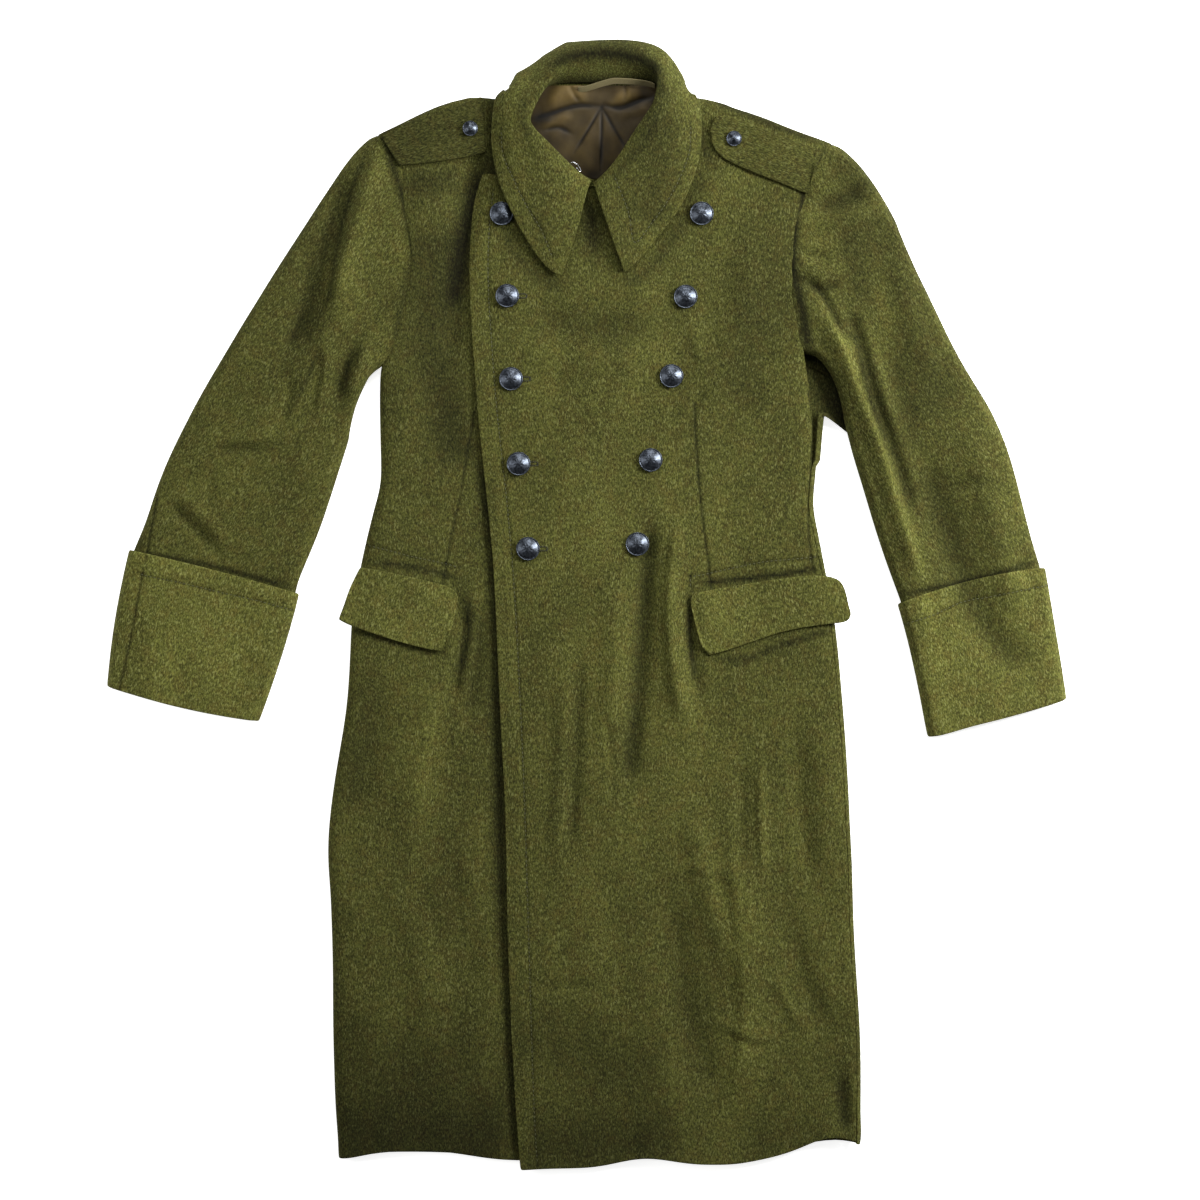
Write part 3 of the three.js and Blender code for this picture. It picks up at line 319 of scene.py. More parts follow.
folds = table(("rise", "width", "path", "steep"), [
    # lap side of the chest
    (-6.5, 13, [(-111, 460), (-126, 417), (-136, 364), (-143, 301), (-145, 253)]),
    (-3.3, 24, [(-171, 343), (-166, 248), (-145, 173), (-126, 136)]),
    (3.9, 20, [(-168, 449), (-176, 385), (-182, 301)]),
    # under front, waist and skirt
    (-4.5, 8, [(-138, 9), (-129, -30), (-134, -70), (-143, -113)]),
    (3.6, 6, [(-122, -7), (-126, -60), (-134, -113)], -1),
    (-3.9, 6, [(-112, -7), (-117, -70), (-126, -129)]),
    (3.9, 18, [(-161, -81), (-171, -145), (-182, -229)], 1),
    (-3.3, 16, [(-208, -70), (-227, -145), (-246, -229)]),
    (3.3, 16, [(-208, -293), (-176, -367), (-161, -441)]),
    (-2.7, 12, [(-153, -261), (-132, -335), (-118, -420)]),
    # lapping front, chest
    (-2.7, 18, [(-60, 311), (4, 292), (67, 301)]),
    (2.4, 16, [(-70, 269), (4, 253), (67, 260)]),
    (-3.0, 16, [(205, 279), (157, 200), (131, 147)]),
    (2.7, 16, [(179, 375), (163, 311), (136, 258)]),
    (-2.4, 5, [(99, 210), (84, 192)]),
    (-2.4, 5, [(126, 228), (110, 200)]),
    (2.1, 6, [(110, 301), (123, 248)]),
    # lapping front, waist and skirt
    (-6.3, 10, [(67, 89), (63, 25), (59, -39), (52, -113), (44, -198)]),
    (4.6, 12, [(95, 89), (87, 4), (91, -70), (99, -123)], -1),
    (-3.6, 8, [(113, 9), (113, -60), (123, -113)]),
    (3.3, 12, [(27, 25), (29, -60), (20, -145)]),
    (-3.0, 6, [(-7, -60), (-10, -145), (-17, -261)]),
    (2.2, 7, [(-24, -70), (-27, -155), (-34, -272)]),
    (-2.2, 5, [(20, -113), (27, -166), (25, -219)]),
    (3.6, 13, [(110, -219), (131, -314), (152, -388)]),
    (4.2, 22, [(152, -261), (163, -357), (168, -441), (157, -526)], -1),
    (-3.0, 15, [(97, -314), (101, -399), (120, -473), (136, -526)]),
    (3.2, 8, [(182, -166), (184, -229), (186, -293)], -1),
    (-3.0, 8, [(163, -161), (165, -229), (163, -282)]),
    (-2.6, 10, [(216, -335), (232, -399), (256, -454)]),
    (2.7, 5, [(195, -388), (216, -431), (232, -452)]),
    (-2.4, 4, [(144, -452), (175, -467), (205, -469)]),
    (2.4, 5, [(136, -441), (163, -456), (195, -461)]),
    (-3.9, 8, [(269, -494), (273, -569)]),
    (2.1, 6, [(67, -298), (110, -280), (163, -288)]),
    (-1.8, 6, [(-70, -401), (-7, -408), (25, -401)]),
    (3.0, 14, [(242, -113), (253, -208), (256, -293)]),
    (-2.7, 10, [(221, -145), (228, -229), (235, -293)]),
    # sleeve of the wearer's right arm
    (6.5, 14, [(-219, 481), (-238, 428), (-253, 375), (-267, 311)], -1),
    (-6.5, 15, [(-249, 460), (-267, 407), (-285, 354), (-299, 301), (-314, 263)]),
    (-4.8, 6, [(-238, 277), (-255, 248), (-263, 207)]),
    (3.6, 8, [(-227, 290), (-242, 245), (-249, 205)]),
    (4.2, 9, [(-280, 279), (-276, 245), (-287, 195)], -1),
    (-3.6, 5, [(-297, 316), (-319, 267)]),
    (-3.3, 6, [(-323, 248), (-314, 224), (-329, 179)]),
    (-2.7, 5, [(-401, 161), (-348, 163), (-312, 169)]),
    (2.4, 7, [(-410, 173), (-351, 175), (-309, 182)]),
    (-3.2, 5, [(-444, 112), (-420, 86), (-401, 65), (-388, 50)]),
    (3.6, 7, [(-429, 118), (-401, 89), (-378, 62)]),
    (-2.7, 7, [(-397, 142), (-400, 89)]),
    (3.6, 16, [(-357, 332), (-388, 258), (-420, 184)]),
    # sleeve of the wearer's left arm
    (-5.1, 9, [(239, 419), (267, 426), (295, 443)]),
    (4.5, 9, [(243, 398), (271, 407), (306, 417)]),
    (-3.6, 5, [(229, 339), (248, 333), (269, 341)]),
    (3.0, 6, [(231, 354), (253, 351), (271, 360)]),
    (-2.7, 5, [(228, 370), (256, 366)]),
    (6.5, 12, [(254, 303), (271, 269), (286, 226), (311, 163), (334, 89), (352, 30)], 1),
    (-6.0, 8, [(273, 315), (292, 269), (307, 216), (324, 163), (349, 89)]),
    (3.9, 9, [(296, 279), (311, 226), (328, 179)]),
    (-5.1, 18, [(356, 152), (375, 89), (398, 25), (423, -28), (470, -76)]),
    (4.2, 16, [(396, 195), (419, 120), (440, 46), (460, -17)]),
    (-3.3, 7, [(420, 207), (444, 168)]),
    (-2.7, 6, [(373, 118), (407, 125), (438, 122)]),
    (3.6, 14, [(322, 375), (345, 301), (366, 237)]),
    (-3.8, 5, [(223, 345), (242, 336), (256, 316), (268, 293), (284, 278)]),
])

# Painted shade and painted light in the cloth's colour: darker where folds, flaps, seams, the collar and the arms would
# shade it and towards the hem, lighter on lit ridges and edges
shadeColumns = ("amount", "width", "path")
paintedShades = [
    # fronts
    {"on": ["rightFrontPanel"], "rows": table(shadeColumns, [
        (-0.55, 6, [(-107, 472), (-118, 428), (-129, 380), (-136, 327)]),
        (-0.81, 13, [(-111, 465), (-125, 417), (-136, 364), (-142, 301)]),
        (-0.51, 34, [(-166, 407), (-166, 301), (-153, 216), (-126, 136)]),
        (-0.5, 20, [(-202, 452), (-165, 447), (-128, 462)]),
        (-0.69, 9, [(-115, 163), (-102, 89), (-98, 25), (-94, -123), (-92, -261), (-90, -335)]),
        (-0.58, 6, [(-90, -314), (-83, -441), (-75, -595)]),
        (-0.78, 5.5, [(-131, 19), (-125, -17), (-132, -60), (-138, -90)]),
        (-0.39, 6, [(-112, -7), (-117, -70), (-126, -129)]),
        (0.26, 26, [(-161, -113), (-176, -166), (-185, -229)]),
        (-0.32, 18, [(-229, -70), (-235, -145), (-253, -229)]),
        (-0.14, 18, [(-129, -187), (-145, -261), (-134, -357)]),
        (-0.65, 62, [(-277, -569), (-176, -563), (-70, -569)]),
        (-0.32, 40, [(-272, -441), (-208, -484), (-102, -473)]),
        (-0.6, 3.8, [(-256, -26), (-198, -41), (-147, -56)]),
        (-0.7, 3.5, [(-238, 45), (-176, 37), (-126, 23)]),
        (-0.52, 9, [(-100, 497), (-97, 428), (-70, 366), (-30, 339)]),
    ])},
    # lapping front
    {"on": ["leftFrontPanel"], "rows": table(shadeColumns, [
        (-0.2, 44, [(163, 428), (179, 354), (163, 269)]),
        (-0.34, 20, [(-60, 311), (4, 292), (78, 301)]),
        (-0.69, 11, [(4, 436), (7, 364)]),
        (-0.43, 9, [(-97, 428), (-70, 364), (-30, 337), (-17, 354)]),
        (-0.39, 8, [(129, 470), (101, 401), (52, 343), (36, 364)]),
        (-0.2, 34, [(205, 354), (173, 269), (152, 195)]),
        (-0.58, 10, [(67, 89), (63, 25), (58, -39), (52, -113), (44, -198)]),
        (0.19, 12, [(94, 89), (87, 4), (94, -81)]),
        (-0.8, 4, [(110, 12), (109, -28), (114, -70), (122, -94)]),
        (-0.85, 3.2, [(112, 21), (173, 27), (216, 32), (254, 40)]),
        (-0.62, 3.8, [(126, -57), (165, -60), (205, -45), (272, -24)]),
        (-0.23, 6, [(-7, -60), (-10, -145), (-17, -261)]),
        (0.32, 20, [(154, -282), (163, -357), (168, -441), (157, -526)]),
        (-0.28, 15, [(97, -314), (101, -399), (118, -473), (133, -521)]),
        (0.24, 9, [(182, -166), (184, -229), (186, -293)]),
        (-0.2, 12, [(218, -335), (233, -399), (256, -454)]),
        (-0.64, 8, [(269, -494), (274, -574)]),
        (-0.51, 44, [(-76, -579), (4, -574), (110, -569)]),
        (-0.32, 40, [(-70, -441), (4, -484), (99, -494)]),
        (-0.23, 30, [(152, -574), (269, -567)]),
        (0.13, 50, [(-39, 46), (89, 89), (205, 89)]),
        (-0.69, 7, [(241, 301), (250, 195)]),
        (0.14, 60, [(-28, -17), (67, -123), (110, -208)]),
    ])},
    # painted shadow on the shoulders, beside the straps
    {"on": ["leftFrontPanel", "backPanel"], "rows": table(shadeColumns, [
        (-0.66, 6, [(118, 538), (165, 521), (210, 505), (258, 488)]),
        (-0.5, 5, [(121, 508), (126, 480), (137, 462)]),
    ])},
    {"on": ["rightFrontPanel", "backPanel"], "rows": table(shadeColumns, [
        (-0.55, 8, [(-103, 548), (-99, 520), (-98, 487)]),
        (-0.5, 7, [(-222, 503), (-165, 524), (-112, 544)]),
    ])},
    # painted shade along the armhole seams
    {"on": ["rightFrontPanel", "rightSleeveTube"], "rows": table(shadeColumns, [
        (-0.74, 3.4, [(-221, 502), (-206, 460), (-196, 412), (-189, 369)]),
        (-0.45, 3.4, [(-189, 380), (-196, 332), (-210, 279), (-219, 253)]),
    ])},
    {"on": ["leftFrontPanel", "leftSleeveTube"], "rows": table(shadeColumns, [
        (-0.81, 3.8, [(256, 489), (233, 449), (227, 407), (224, 354), (233, 301), (241, 258)]),
    ])},
    # wearer's right sleeve and cuff
    {"on": ["rightSleeveTube", "rightCuffTube"], "rows": table(shadeColumns, [
        (0.19, 13, [(-217, 470), (-238, 422), (-253, 369), (-263, 316)]),
        (-0.45, 15, [(-249, 460), (-267, 407), (-285, 354), (-299, 301), (-314, 263)]),
        (-0.45, 6, [(-238, 277), (-255, 248), (-263, 207)]),
        (-0.39, 4, [(-297, 316), (-319, 267)]),
        (-0.26, 6, [(-401, 161), (-348, 163), (-312, 169)]),
        (-0.26, 5, [(-444, 112), (-420, 86), (-401, 65), (-388, 50)]),
        (-0.2, 30, [(-325, 407), (-367, 311), (-410, 216)]),
        (-0.5, 3.4, [(-229, 490), (-252, 427), (-264, 375), (-271, 330), (-284, 300)]),
        (-0.42, 2.6, [(-281, 273), (-294, 240), (-312, 205)]),
        (-0.45, 2.8, [(-249, 262), (-254, 240), (-251, 222)]),
    ])},
    # painted shadow above the cuff's edge
    {"on": ["rightSleeveTube"], "rows": table(shadeColumns, [
        (-0.74, 3.4, [(-478, 54), (-399, 40), (-308, 16)]),
    ])},
    # wearer's left sleeve and cuff
    {"on": ["leftSleeveTube", "leftCuffTube"], "rows": table(shadeColumns, [
        (-0.51, 10, [(239, 421), (267, 426), (295, 443)]),
        (-0.45, 5, [(229, 339), (248, 333), (269, 341)]),
        (0.32, 10, [(256, 301), (272, 269), (288, 226), (312, 163), (335, 89), (360, 4), (377, -81)]),
        (-0.53, 8, [(273, 315), (292, 269), (307, 216), (324, 163), (349, 89)]),
        (-0.43, 18, [(356, 152), (375, 89), (398, 25), (423, -28), (470, -76)]),
        (-0.2, 6, [(373, 118), (407, 125), (438, 122)]),
        (-0.36, 34, [(300, 425), (345, 311), (385, 190)]),
        (-0.42, 20, [(256, 474), (284, 457), (300, 420)]),
        (-0.3, 15, [(268, 402), (287, 358), (298, 310)]),
        (-0.3, 16, [(328, 270), (338, 204), (346, 150)]),
        (0.3, 9, [(306, 374), (313, 330), (322, 283)]),
        (-0.55, 3.4, [(222, 346), (242, 336), (256, 316), (268, 294), (285, 277)]),
        (-0.5, 3.2, [(285, 279), (292, 250), (300, 216), (318, 167)]),
    ])},
    # painted shadow above the cuff's edge
    {"on": ["leftSleeveTube"], "rows": table(shadeColumns, [
        (-0.74, 3.4, [(330, 8), (407, 25), (483, 45)]),
    ])},
    # painted shadow under the arm
    {"on": ["backPanel"], "rows": table(shadeColumns, [
        (-0.94, 26, [(239, 301), (254, 237), (279, 168)]),
    ])},
    # painted shadow inside the collar's stand, along its leaves and roll, and a painted highlight on the lit edge of
    # the leaf on the wearer's left
    {"on": ["collarPiece"], "rows": table(shadeColumns, [
        (-0.72, 7, [(-50, 534), (-20, 550), (25, 553), (67, 549), (84, 534)]),
        (-0.81, 8, [(-44, 555), (-28, 572), (4, 580), (41, 578), (70, 566), (80, 538)]),
        (-0.45, 8, [(-60, 481), (-67, 518), (-55, 546)]),
        (-0.39, 7, [(80, 538), (69, 502), (41, 462), (16, 444)]),
        (0.19, 12, [(110, 523), (118, 460), (99, 407), (67, 369)]),
        (-0.36, 34, [(67, 523), (83, 460), (51, 391)]),
        (-0.35, 12, [(-36, 580), (15, 591), (66, 584)]),
    ])},
]

# The form is eased a few mm here and there, where the cloth is laid a little fuller: every piece there, or those
# named under on
easing = table(("at", "reach", "shift", "on"), [
    ((-118, 545), (46, 26), (0, 7)),
    ((122, 545), (34, 26), (0, 6)),
    ((215, 505), (40, 26), (0, -3)),
    ((-98, 545), (10, 10), (8, -3)),
    ((264, -570), (34, 22), (0, 6)),
    ((62, -592), (44, 22), (0, 4)),
    ((-105, -590), (50, 22), (0, -4)),
    ((438, 172), (50, 80), (6, 2)),
    ((-440, 120), (44, 80), (-4, 1)),
    ((-420, -108), (110, 40), (-1, -4)),
    ((372, -135), (26, 30), (-1, -3)),
    ((282, -250), (24, 300), (2.5, 0)),
    ((-262, -250), (24, 320), (-2.5, 0)),
    ((246, 90), (16, 60), (3.5, 0)),
    ((-254, -586), (24, 14), (-1, -4)),
    ((290, -572), (14, 24), (3, -2)),
    ((268, 22), (14, 14), (3, 3), ["leftFlapPiece"]),
    ((-88, 551), (9, 9), (4, -6), ["collarPiece"]),
    ((112, 543), (13, 13), (-5, -2), ["collarPiece"]),
    ((-100, 545), (16, 16), (0, 9), ["backPanel"]),
    ((-165, 528), (70, 16), (0, 4), ["backPanel", "rightFrontPanel"]),
])

# A seam is a groove; stitched ones carry thread. What lies between an edge and its stitch line swells a little.
seamColumns = ("depth", "width", "stitched", "path", "swell")
seams = {
    "leftFrontPanel": table(seamColumns, [
        (0.65, 1.7, True, [(-99, 438), (-104, 383), (-104, 332), (-101, 282), (-95, 204), (-83, 92), (-75, -12),
             (-67, -180), (-62, -333), (-56, -526), (-52, -597)], -9),
        (0.7, 1.7, False, [(114, 213), (116, 171), (121, 107), (130, 34), (133, 15)]),
        (0.6, 1.7, False, [(235, 224), (239, 185), (236, 140), (233, 89), (236, 48), (240, 33)]),
        (0.6, 1.8, True, [(110, 29), (121, 30), (157, 38), (187, 44), (219, 47), (250, 50)]),
        (0.6, 1.8, True, [(110, 29), (110, 16)]),
    ]),
    "rightFrontPanel": table(seamColumns, [
        (0.7, 1.7, False, [(-119, 203), (-127, 158), (-134, 115), (-143, 74), (-153, 20)]),
        (0.6, 1.8, True, [(-234, 62), (-205, 55), (-182, 49), (-149, 42), (-135, 38)]),
    ]),
    "rightSleeveTube": table(seamColumns, [
        (0.7, 1.8, False, [(-451, 110), (-464, 52)]),
    ]),
    "rightCuffTube": table(seamColumns, [
        (0.65, 1.5, True, [(-474, 33), (-464, 29), (-425, 21), (-384, 11), (-344, 2), (-308, -8)], 10),
        (0.7, 1.8, False, [(-464, 49), (-469, 30), (-483, -41), (-494, -90)]),
    ]),
    "leftCuffTube": table(seamColumns, [
        (0.65, 1.5, True, [(336, -22), (365, -13), (396, 1), (426, 7), (461, 14), (491, 20)], 10),
    ]),
    "collarPiece": table(seamColumns, [
        (0.6, 1.6, True, [(29, 452), (44, 414), (51, 382), (68, 401), (86, 426), (101, 455), (109, 479),
             (110, 508)]),
        (0.6, 1.6, True, [(-90, 500), (-88, 474), (-77, 448), (-64, 421), (-48, 395), (-36, 366)]),
    ]),
}


def smoothLine(path, step=3.0):
    # Catmull-Rom through the points, one point every few mm
    points = [np.array(p, float) for p in path]
    points = [2 * points[0] - points[1], *points, 2 * points[-1] - points[-2]]
    line = []
    for a, b, c, d in zip(points, points[1:], points[2:], points[3:]):
        count = max(2, int(np.linalg.norm(c - b) / step))
        for t in np.arange(count) / count:
            line.append(0.5 * (2 * b + (c - a) * t + (2 * a - 5 * b + 4 * c - d) * t ** 2
                               + (3 * b - a - 3 * c + d) * t ** 3))
    line.append(points[-2])
    return np.array(line)


def nearLine(xy, line, reach):
    # For each point: distance to the line, side of it (+ is to the left of its run) and length along it, in mm
    far = np.full(len(xy), 1e6)
    side = np.zeros(len(xy))
    along = np.zeros(len(xy))
    inside = np.all((xy > line.min(0) - reach) & (xy < line.max(0) + reach), axis=1)
    pick = np.flatnonzero(inside)
    run = 0.0
    for a, b in zip(line[:-1], line[1:]):
        length = np.linalg.norm(b - a)
        away = xy[pick] - a
        t = np.clip(away @ (b - a) / length ** 2, 0, 1)
        distance = np.linalg.norm(away - t[:, None] * (b - a), axis=1)
        closer = distance < far[pick]
        hit = pick[closer]
        far[hit] = distance[closer]
        side[hit] = np.sign((b - a)[0] * away[closer, 1] - (b - a)[1] * away[closer, 0])
        along[hit] = run + t[closer] * length
        run += length
    return far, side, along, run


def smoothStep(value, low, high):
    t = np.clip((value - low) / (high - low), 0, 1)
    return t * t * (3 - 2 * t)


def strokes(xy, rows, key):
    # Soft strokes along the paths, thinning out towards their ends, some with one steep side
    total = np.zeros(len(xy))
    for row in rows:
        line = smoothLine(row["path"])
        far, side, along, length = nearLine(xy, line, 3 * row["width"])
        ends = min(0.3 * length, 30)
        fade = smoothStep(along, 0, ends) * smoothStep(length - along, 0, ends)
        fade = 0.25 + 0.75 * fade
        width = np.where(side * row.get("steep", 0) > 0, 0.4, 1.0) * row["width"]
        total += row[key] * fade * np.exp(-(far / width) ** 2)
    return total


def foldHeight(xy):
    return strokes(xy, folds, "rise") + unevenHeight(xy, 11)


def paintedShadeOf(xy, name, groove):
    # painted shade and painted light from the stroke tables
    rows = [row for group in paintedShades if name in group["on"] for row in group["rows"]]
    total = np.ones(len(xy))
    for row in rows:
        total *= 1 + strokes(xy, [row], "amount")
    # painted shade darkens the seam grooves as well
    return np.clip(total * (1 + 0.8 * np.minimum(groove, 0)), 0.12, 1.6)


def eased(xy, name=None):
    shift = np.zeros_like(xy)
    for row in easing:
        if name not in row.get("on", [name]):
            continue
        away = (xy - np.array(row["at"])) / np.array(row["reach"])
        shift += np.exp(-(away ** 2).sum(1))[:, None] * np.array(row["shift"], float)
    return xy + shift


def seamHeight(xy, rows):
    height = np.zeros(len(xy))
    for row in rows:
        line = smoothLine(row["path"])
        far, side, along, length = nearLine(xy, line, 30)
        groove = np.exp(-(far / row["width"]) ** 2)
        if row["stitched"]:
            groove *= 0.8 + 0.2 * np.cos(along * 2 * math.pi / stitch["pitch"])
        height -= row["depth"] * groove
        swell = row.get("swell")
        if swell:
            offset = far * side - swell
            height += 0.5 * np.exp(-(offset / (0.6 * abs(swell))) ** 2) * (far < 25)
    return height


def unevenHeight(xy, seed, size=120.0, rise=0.5):
    # Slow uneven waves of laid cloth
    random = np.random.default_rng(seed)
    height = np.zeros(len(xy))
    for k in range(9):
        angle = random.uniform(0, 2 * math.pi)
        wave = size * random.uniform(0.35, 1.3)
        run = xy @ np.array([math.cos(angle), math.sin(angle) * 0.6]) * 2 * math.pi / wave
        height += rise / 3 * np.sin(run + random.uniform(0, 2 * math.pi))
    return height


# Cloth pieces: grain is the nap's turn in degrees; then a painted brightness, by which each piece's copy of the wool is
# lightened or darkened as painted light and shade; flat and area the size it was cut to in m, on the nodes that it lies
# on. Only the back, which hardly shows, isn't refined.

cloths = table(("name", "node", "grain", "paintedBrightness", "flat", "area", "on", "refine"), [
    ("backPanel", "back", 0, 0.95, (0.58, 1.15), 0.60, [], False),
    ("rightFrontPanel", "right_front", 0, 0.95, (0.42, 1.16), 0.42, ["back"], True),
    ("leftFrontPanel", "left_front", 0, 1.0, (0.42, 1.16), 0.42, ["right_front", "back"], True),
    ("rightSleeveTube", "right_sleeve", -24, 1.0, (0.44, 0.66), 0.2, [], True),
    ("leftSleeveTube", "left_sleeve", 22, 1.0, (0.42, 0.66), 0.2, [], True),
    ("rightCuffTube", "right_cuff", -14, 1.55, (0.4, 0.16), None, ["right_sleeve"], True),
    ("leftCuffTube", "left_cuff", 14, 1.38, (0.36, 0.16), None, ["left_sleeve"], True),
    ("collarPiece", "collar", 0, 1.0, (0.52, 0.15), 0.06, ["left_front", "right_front"], True),
    ("rightFlapPiece", "right_pocket_flap", -10, 1.28, (0.13, 0.07), None, ["right_front"], True),
    ("leftFlapPiece", "left_pocket_flap", 10, 1.28, (0.17, 0.07), None, ["left_front"], True),
    ("rightStrapPiece", "right_shoulder_strap", 105, 0.55, (0.12, 0.06), None, ["right_front"], True),
    ("leftStrapPiece", "left_shoulder_strap", 72, 0.78, (0.12, 0.06), None, ["left_front"], True),
])
clothEdge = {"sharpAngle": 62, "round": 0.8, "levels": 2}     # degrees, mm
stitch = {"pitch": 4.6, "length": 3.2, "thick": 0.8}          # mm


def link(name, mesh, material):
    piece = bpy.data.objects.new(name, mesh)
    scene.collection.objects.link(piece)
    mesh.materials.clear()
    mesh.materials.append(material)
    return piece


def meshFrom(bm, name):
    mesh = bpy.data.meshes.new(name)
    bm.to_mesh(mesh)
    bm.free()
    for polygon in mesh.polygons:
        polygon.use_smooth = True
    return mesh


def mergedCopy(node, sharpAngle, roundBy):
    # The solid's triangles joined to four-sided faces, its cut edges rounded off
    bm = bmesh.new()
    bm.from_mesh(nodes[node].data)
    bmesh.ops.remove_doubles(bm, verts=bm.verts, dist=0.02 * mm)
    bmesh.ops.join_triangles(bm, faces=bm.faces, angle_face_threshold=math.radians(35),
                             angle_shape_threshold=math.pi)
    sharp = [e for e in bm.edges if e.is_manifold and e.calc_face_angle() > math.radians(sharpAngle)]
    if roundBy:
        bmesh.ops.bevel(bm, geom=sharp, affect="EDGES", offset=roundBy * mm, offset_type="OFFSET", segments=1,
                        profile=0.5, clamp_overlap=True, material=-1)
    return bm


def subdivided(mesh, levels):
    holder = bpy.data.objects.new("holder", mesh)
    scene.collection.objects.link(holder)
    smooth = holder.modifiers.new("smooth", "SUBSURF")
    smooth.levels = smooth.render_levels = levels
    made = bpy.data.meshes.new_from_object(holder.evaluated_get(bpy.context.evaluated_depsgraph_get()))
    bpy.data.objects.remove(holder)
    bpy.data.meshes.remove(mesh)
    return made


def refineTop(mesh, rows):
    # Finer faces on the upper side, and finer ones still beside the seams
    bm = bmesh.new()
    bm.from_mesh(mesh)
    bm.normal_update()
    top = {e for f in bm.faces if f.normal.z > 0.3 for e in f.edges}
    bmesh.ops.subdivide_edges(bm, edges=list(top), cuts=1, use_grid_fill=True)
    bm.normal_update()
    for row in rows:
        line = smoothLine(row["path"], 6.0) * mm
        tree = BVHTree.FromPolygons([Vector((x, y, z)) for x, y in line for z in (-1, 1)],
                                    [(2 * k, 2 * k + 1, 2 * k + 3, 2 * k + 2) for k in range(len(line) - 1)])
        close = {e for f in bm.faces if f.normal.z > 0.2
                 and tree.find_nearest(f.calc_center_median(), 2.4 * row["width"] * mm)[0] is not None
                 for e in f.edges}
        bmesh.ops.subdivide_edges(bm, edges=list(close), cuts=2, use_grid_fill=True)
        bm.normal_update()
    bm.to_mesh(mesh)
    bm.free()


def pointsOf(mesh):
    co = np.zeros(len(mesh.vertices) * 3, np.float32)
    normal = np.zeros(len(mesh.vertices) * 3, np.float32)
    mesh.vertices.foreach_get("co", co)
    mesh.vertices.foreach_get("normal", normal)
    return co.reshape(-1, 3).astype(float), normal.reshape(-1, 3).astype(float)


def setPoints(mesh, co):
    mesh.vertices.foreach_set("co", co.astype(np.float32).ravel())
    mesh.update()


def setPaintedShade(mesh, values):
    # stores the painted shade and light for the shaders
    nap = mesh.attributes.new("nap", "FLOAT", "POINT")
    nap.data.foreach_set("value", values.astype(np.float32))


foldsFrom = {"low": 3.5, "high": 11}      # mm above the floor: what is lower stays, what is higher moves in full


def lifted(xy, z):
    return foldHeight(xy) * smoothStep(z, foldsFrom["low"], foldsFrom["high"])


def shapeCloth(mesh, cloth):
    co, normal = pointsOf(mesh)
    xy, z = co[:, :2] / mm, co[:, 2] / mm
    groove = seamHeight(xy, seams.get(cloth["name"], []))
    # the colour takes painted shade and painted light
    setPaintedShade(mesh, paintedShadeOf(xy, cloth["name"], groove))
    upper = smoothStep(normal[:, 2], 0.05, 0.5)
    z = z + lifted(xy, z) + groove * upper * smoothStep(z, 2, 5)
    if cloth["name"] == "backPanel":
        xy = fillArmpit(xy)
    if cloth["name"] in armholes:
        xy, z = meetFront(xy, z, armholes[cloth["name"]])
    xy = eased(xy, cloth["name"])
    co[:, :2] = xy * mm
    co[:, 2] = np.maximum(z, 0) * mm
    setPoints(mesh, co)


# The back's cloth under the wearer's left arm runs out to the sleeve, mm
armpit = {
    "low": 150, "high": 290, "fade": 20,              # between these places up the coat
    "side": 227,                                      # from here outwards, to a slanting edge
    "edge": (241, 250), "slope": 0.46,
    "reach": 14, "topReach": 10, "top": (212, 240), "drop": 3,
}


def fillArmpit(xy):
    x, y = xy[:, 0], xy[:, 1]
    edge = armpit["edge"][0] + (armpit["edge"][1] - y) * armpit["slope"]
    share = np.clip((x - armpit["side"]) / np.maximum(edge - armpit["side"], 5), 0, 1.1)
    share = share * smoothStep(armpit["high"] - y, 0, armpit["fade"]) * (y > armpit["low"])
    reach = armpit["reach"] + armpit["topReach"] * smoothStep(y, *armpit["top"])
    return xy + np.stack((reach * share, -armpit["drop"] * share), axis=1)


# Each sleeve's head is drawn up to the front it is sewn to, by a little more at the foot of the armhole, mm
armholes = {"rightSleeveTube": "rightFrontPanel", "leftSleeveTube": "leftFrontPanel"}
sleeveHead = {
    "above": 6, "from": 235, "within": 290,           # the part of the sleeve that moves
    "look": 14, "near": 3, "far": 13,                 # in full when the front is near, not at all when it is far
    "pull": 5.2, "footPull": 4, "foot": 300, "fade": 25, "drop": 1.2,
}


def meetFront(xy, z, front):
    tree = clothTree(clothPieces[front])
    pull = np.zeros((len(xy), 3))
    head = sleeveHead
    close = np.flatnonzero((z > head["above"]) & (xy[:, 1] > head["from"]) & (np.abs(xy[:, 0]) < head["within"]))
    for k in close:
        place = Vector((xy[k, 0] * mm, xy[k, 1] * mm, z[k] * mm))
        hit, _, _, far = tree.find_nearest(place, head["look"] * mm)
        if hit is None:
            continue
        share = 1 - float(smoothStep(np.array(far / mm), head["near"], head["far"]))
        away = Vector((hit.x - place.x, hit.y - place.y, 0))
        if away.length > 0:
            reach = head["pull"] + head["footPull"] * float(smoothStep(np.array(head["foot"] - xy[k, 1]), 0,
                                                                       head["fade"]))
            pull[k, :2] = np.array(away.normalized()[:2]) * reach * share
        pull[k, 2] = -head["drop"] * share
    return xy + pull[:, :2], z + pull[:, 2]


def clothTree(piece):
    mesh = piece.data
    return BVHTree.FromPolygons([v.co for v in mesh.vertices], [p.vertices[:] for p in mesh.polygons])


def halfArea(mesh):
    return sum(p.area for p in mesh.polygons) / 2


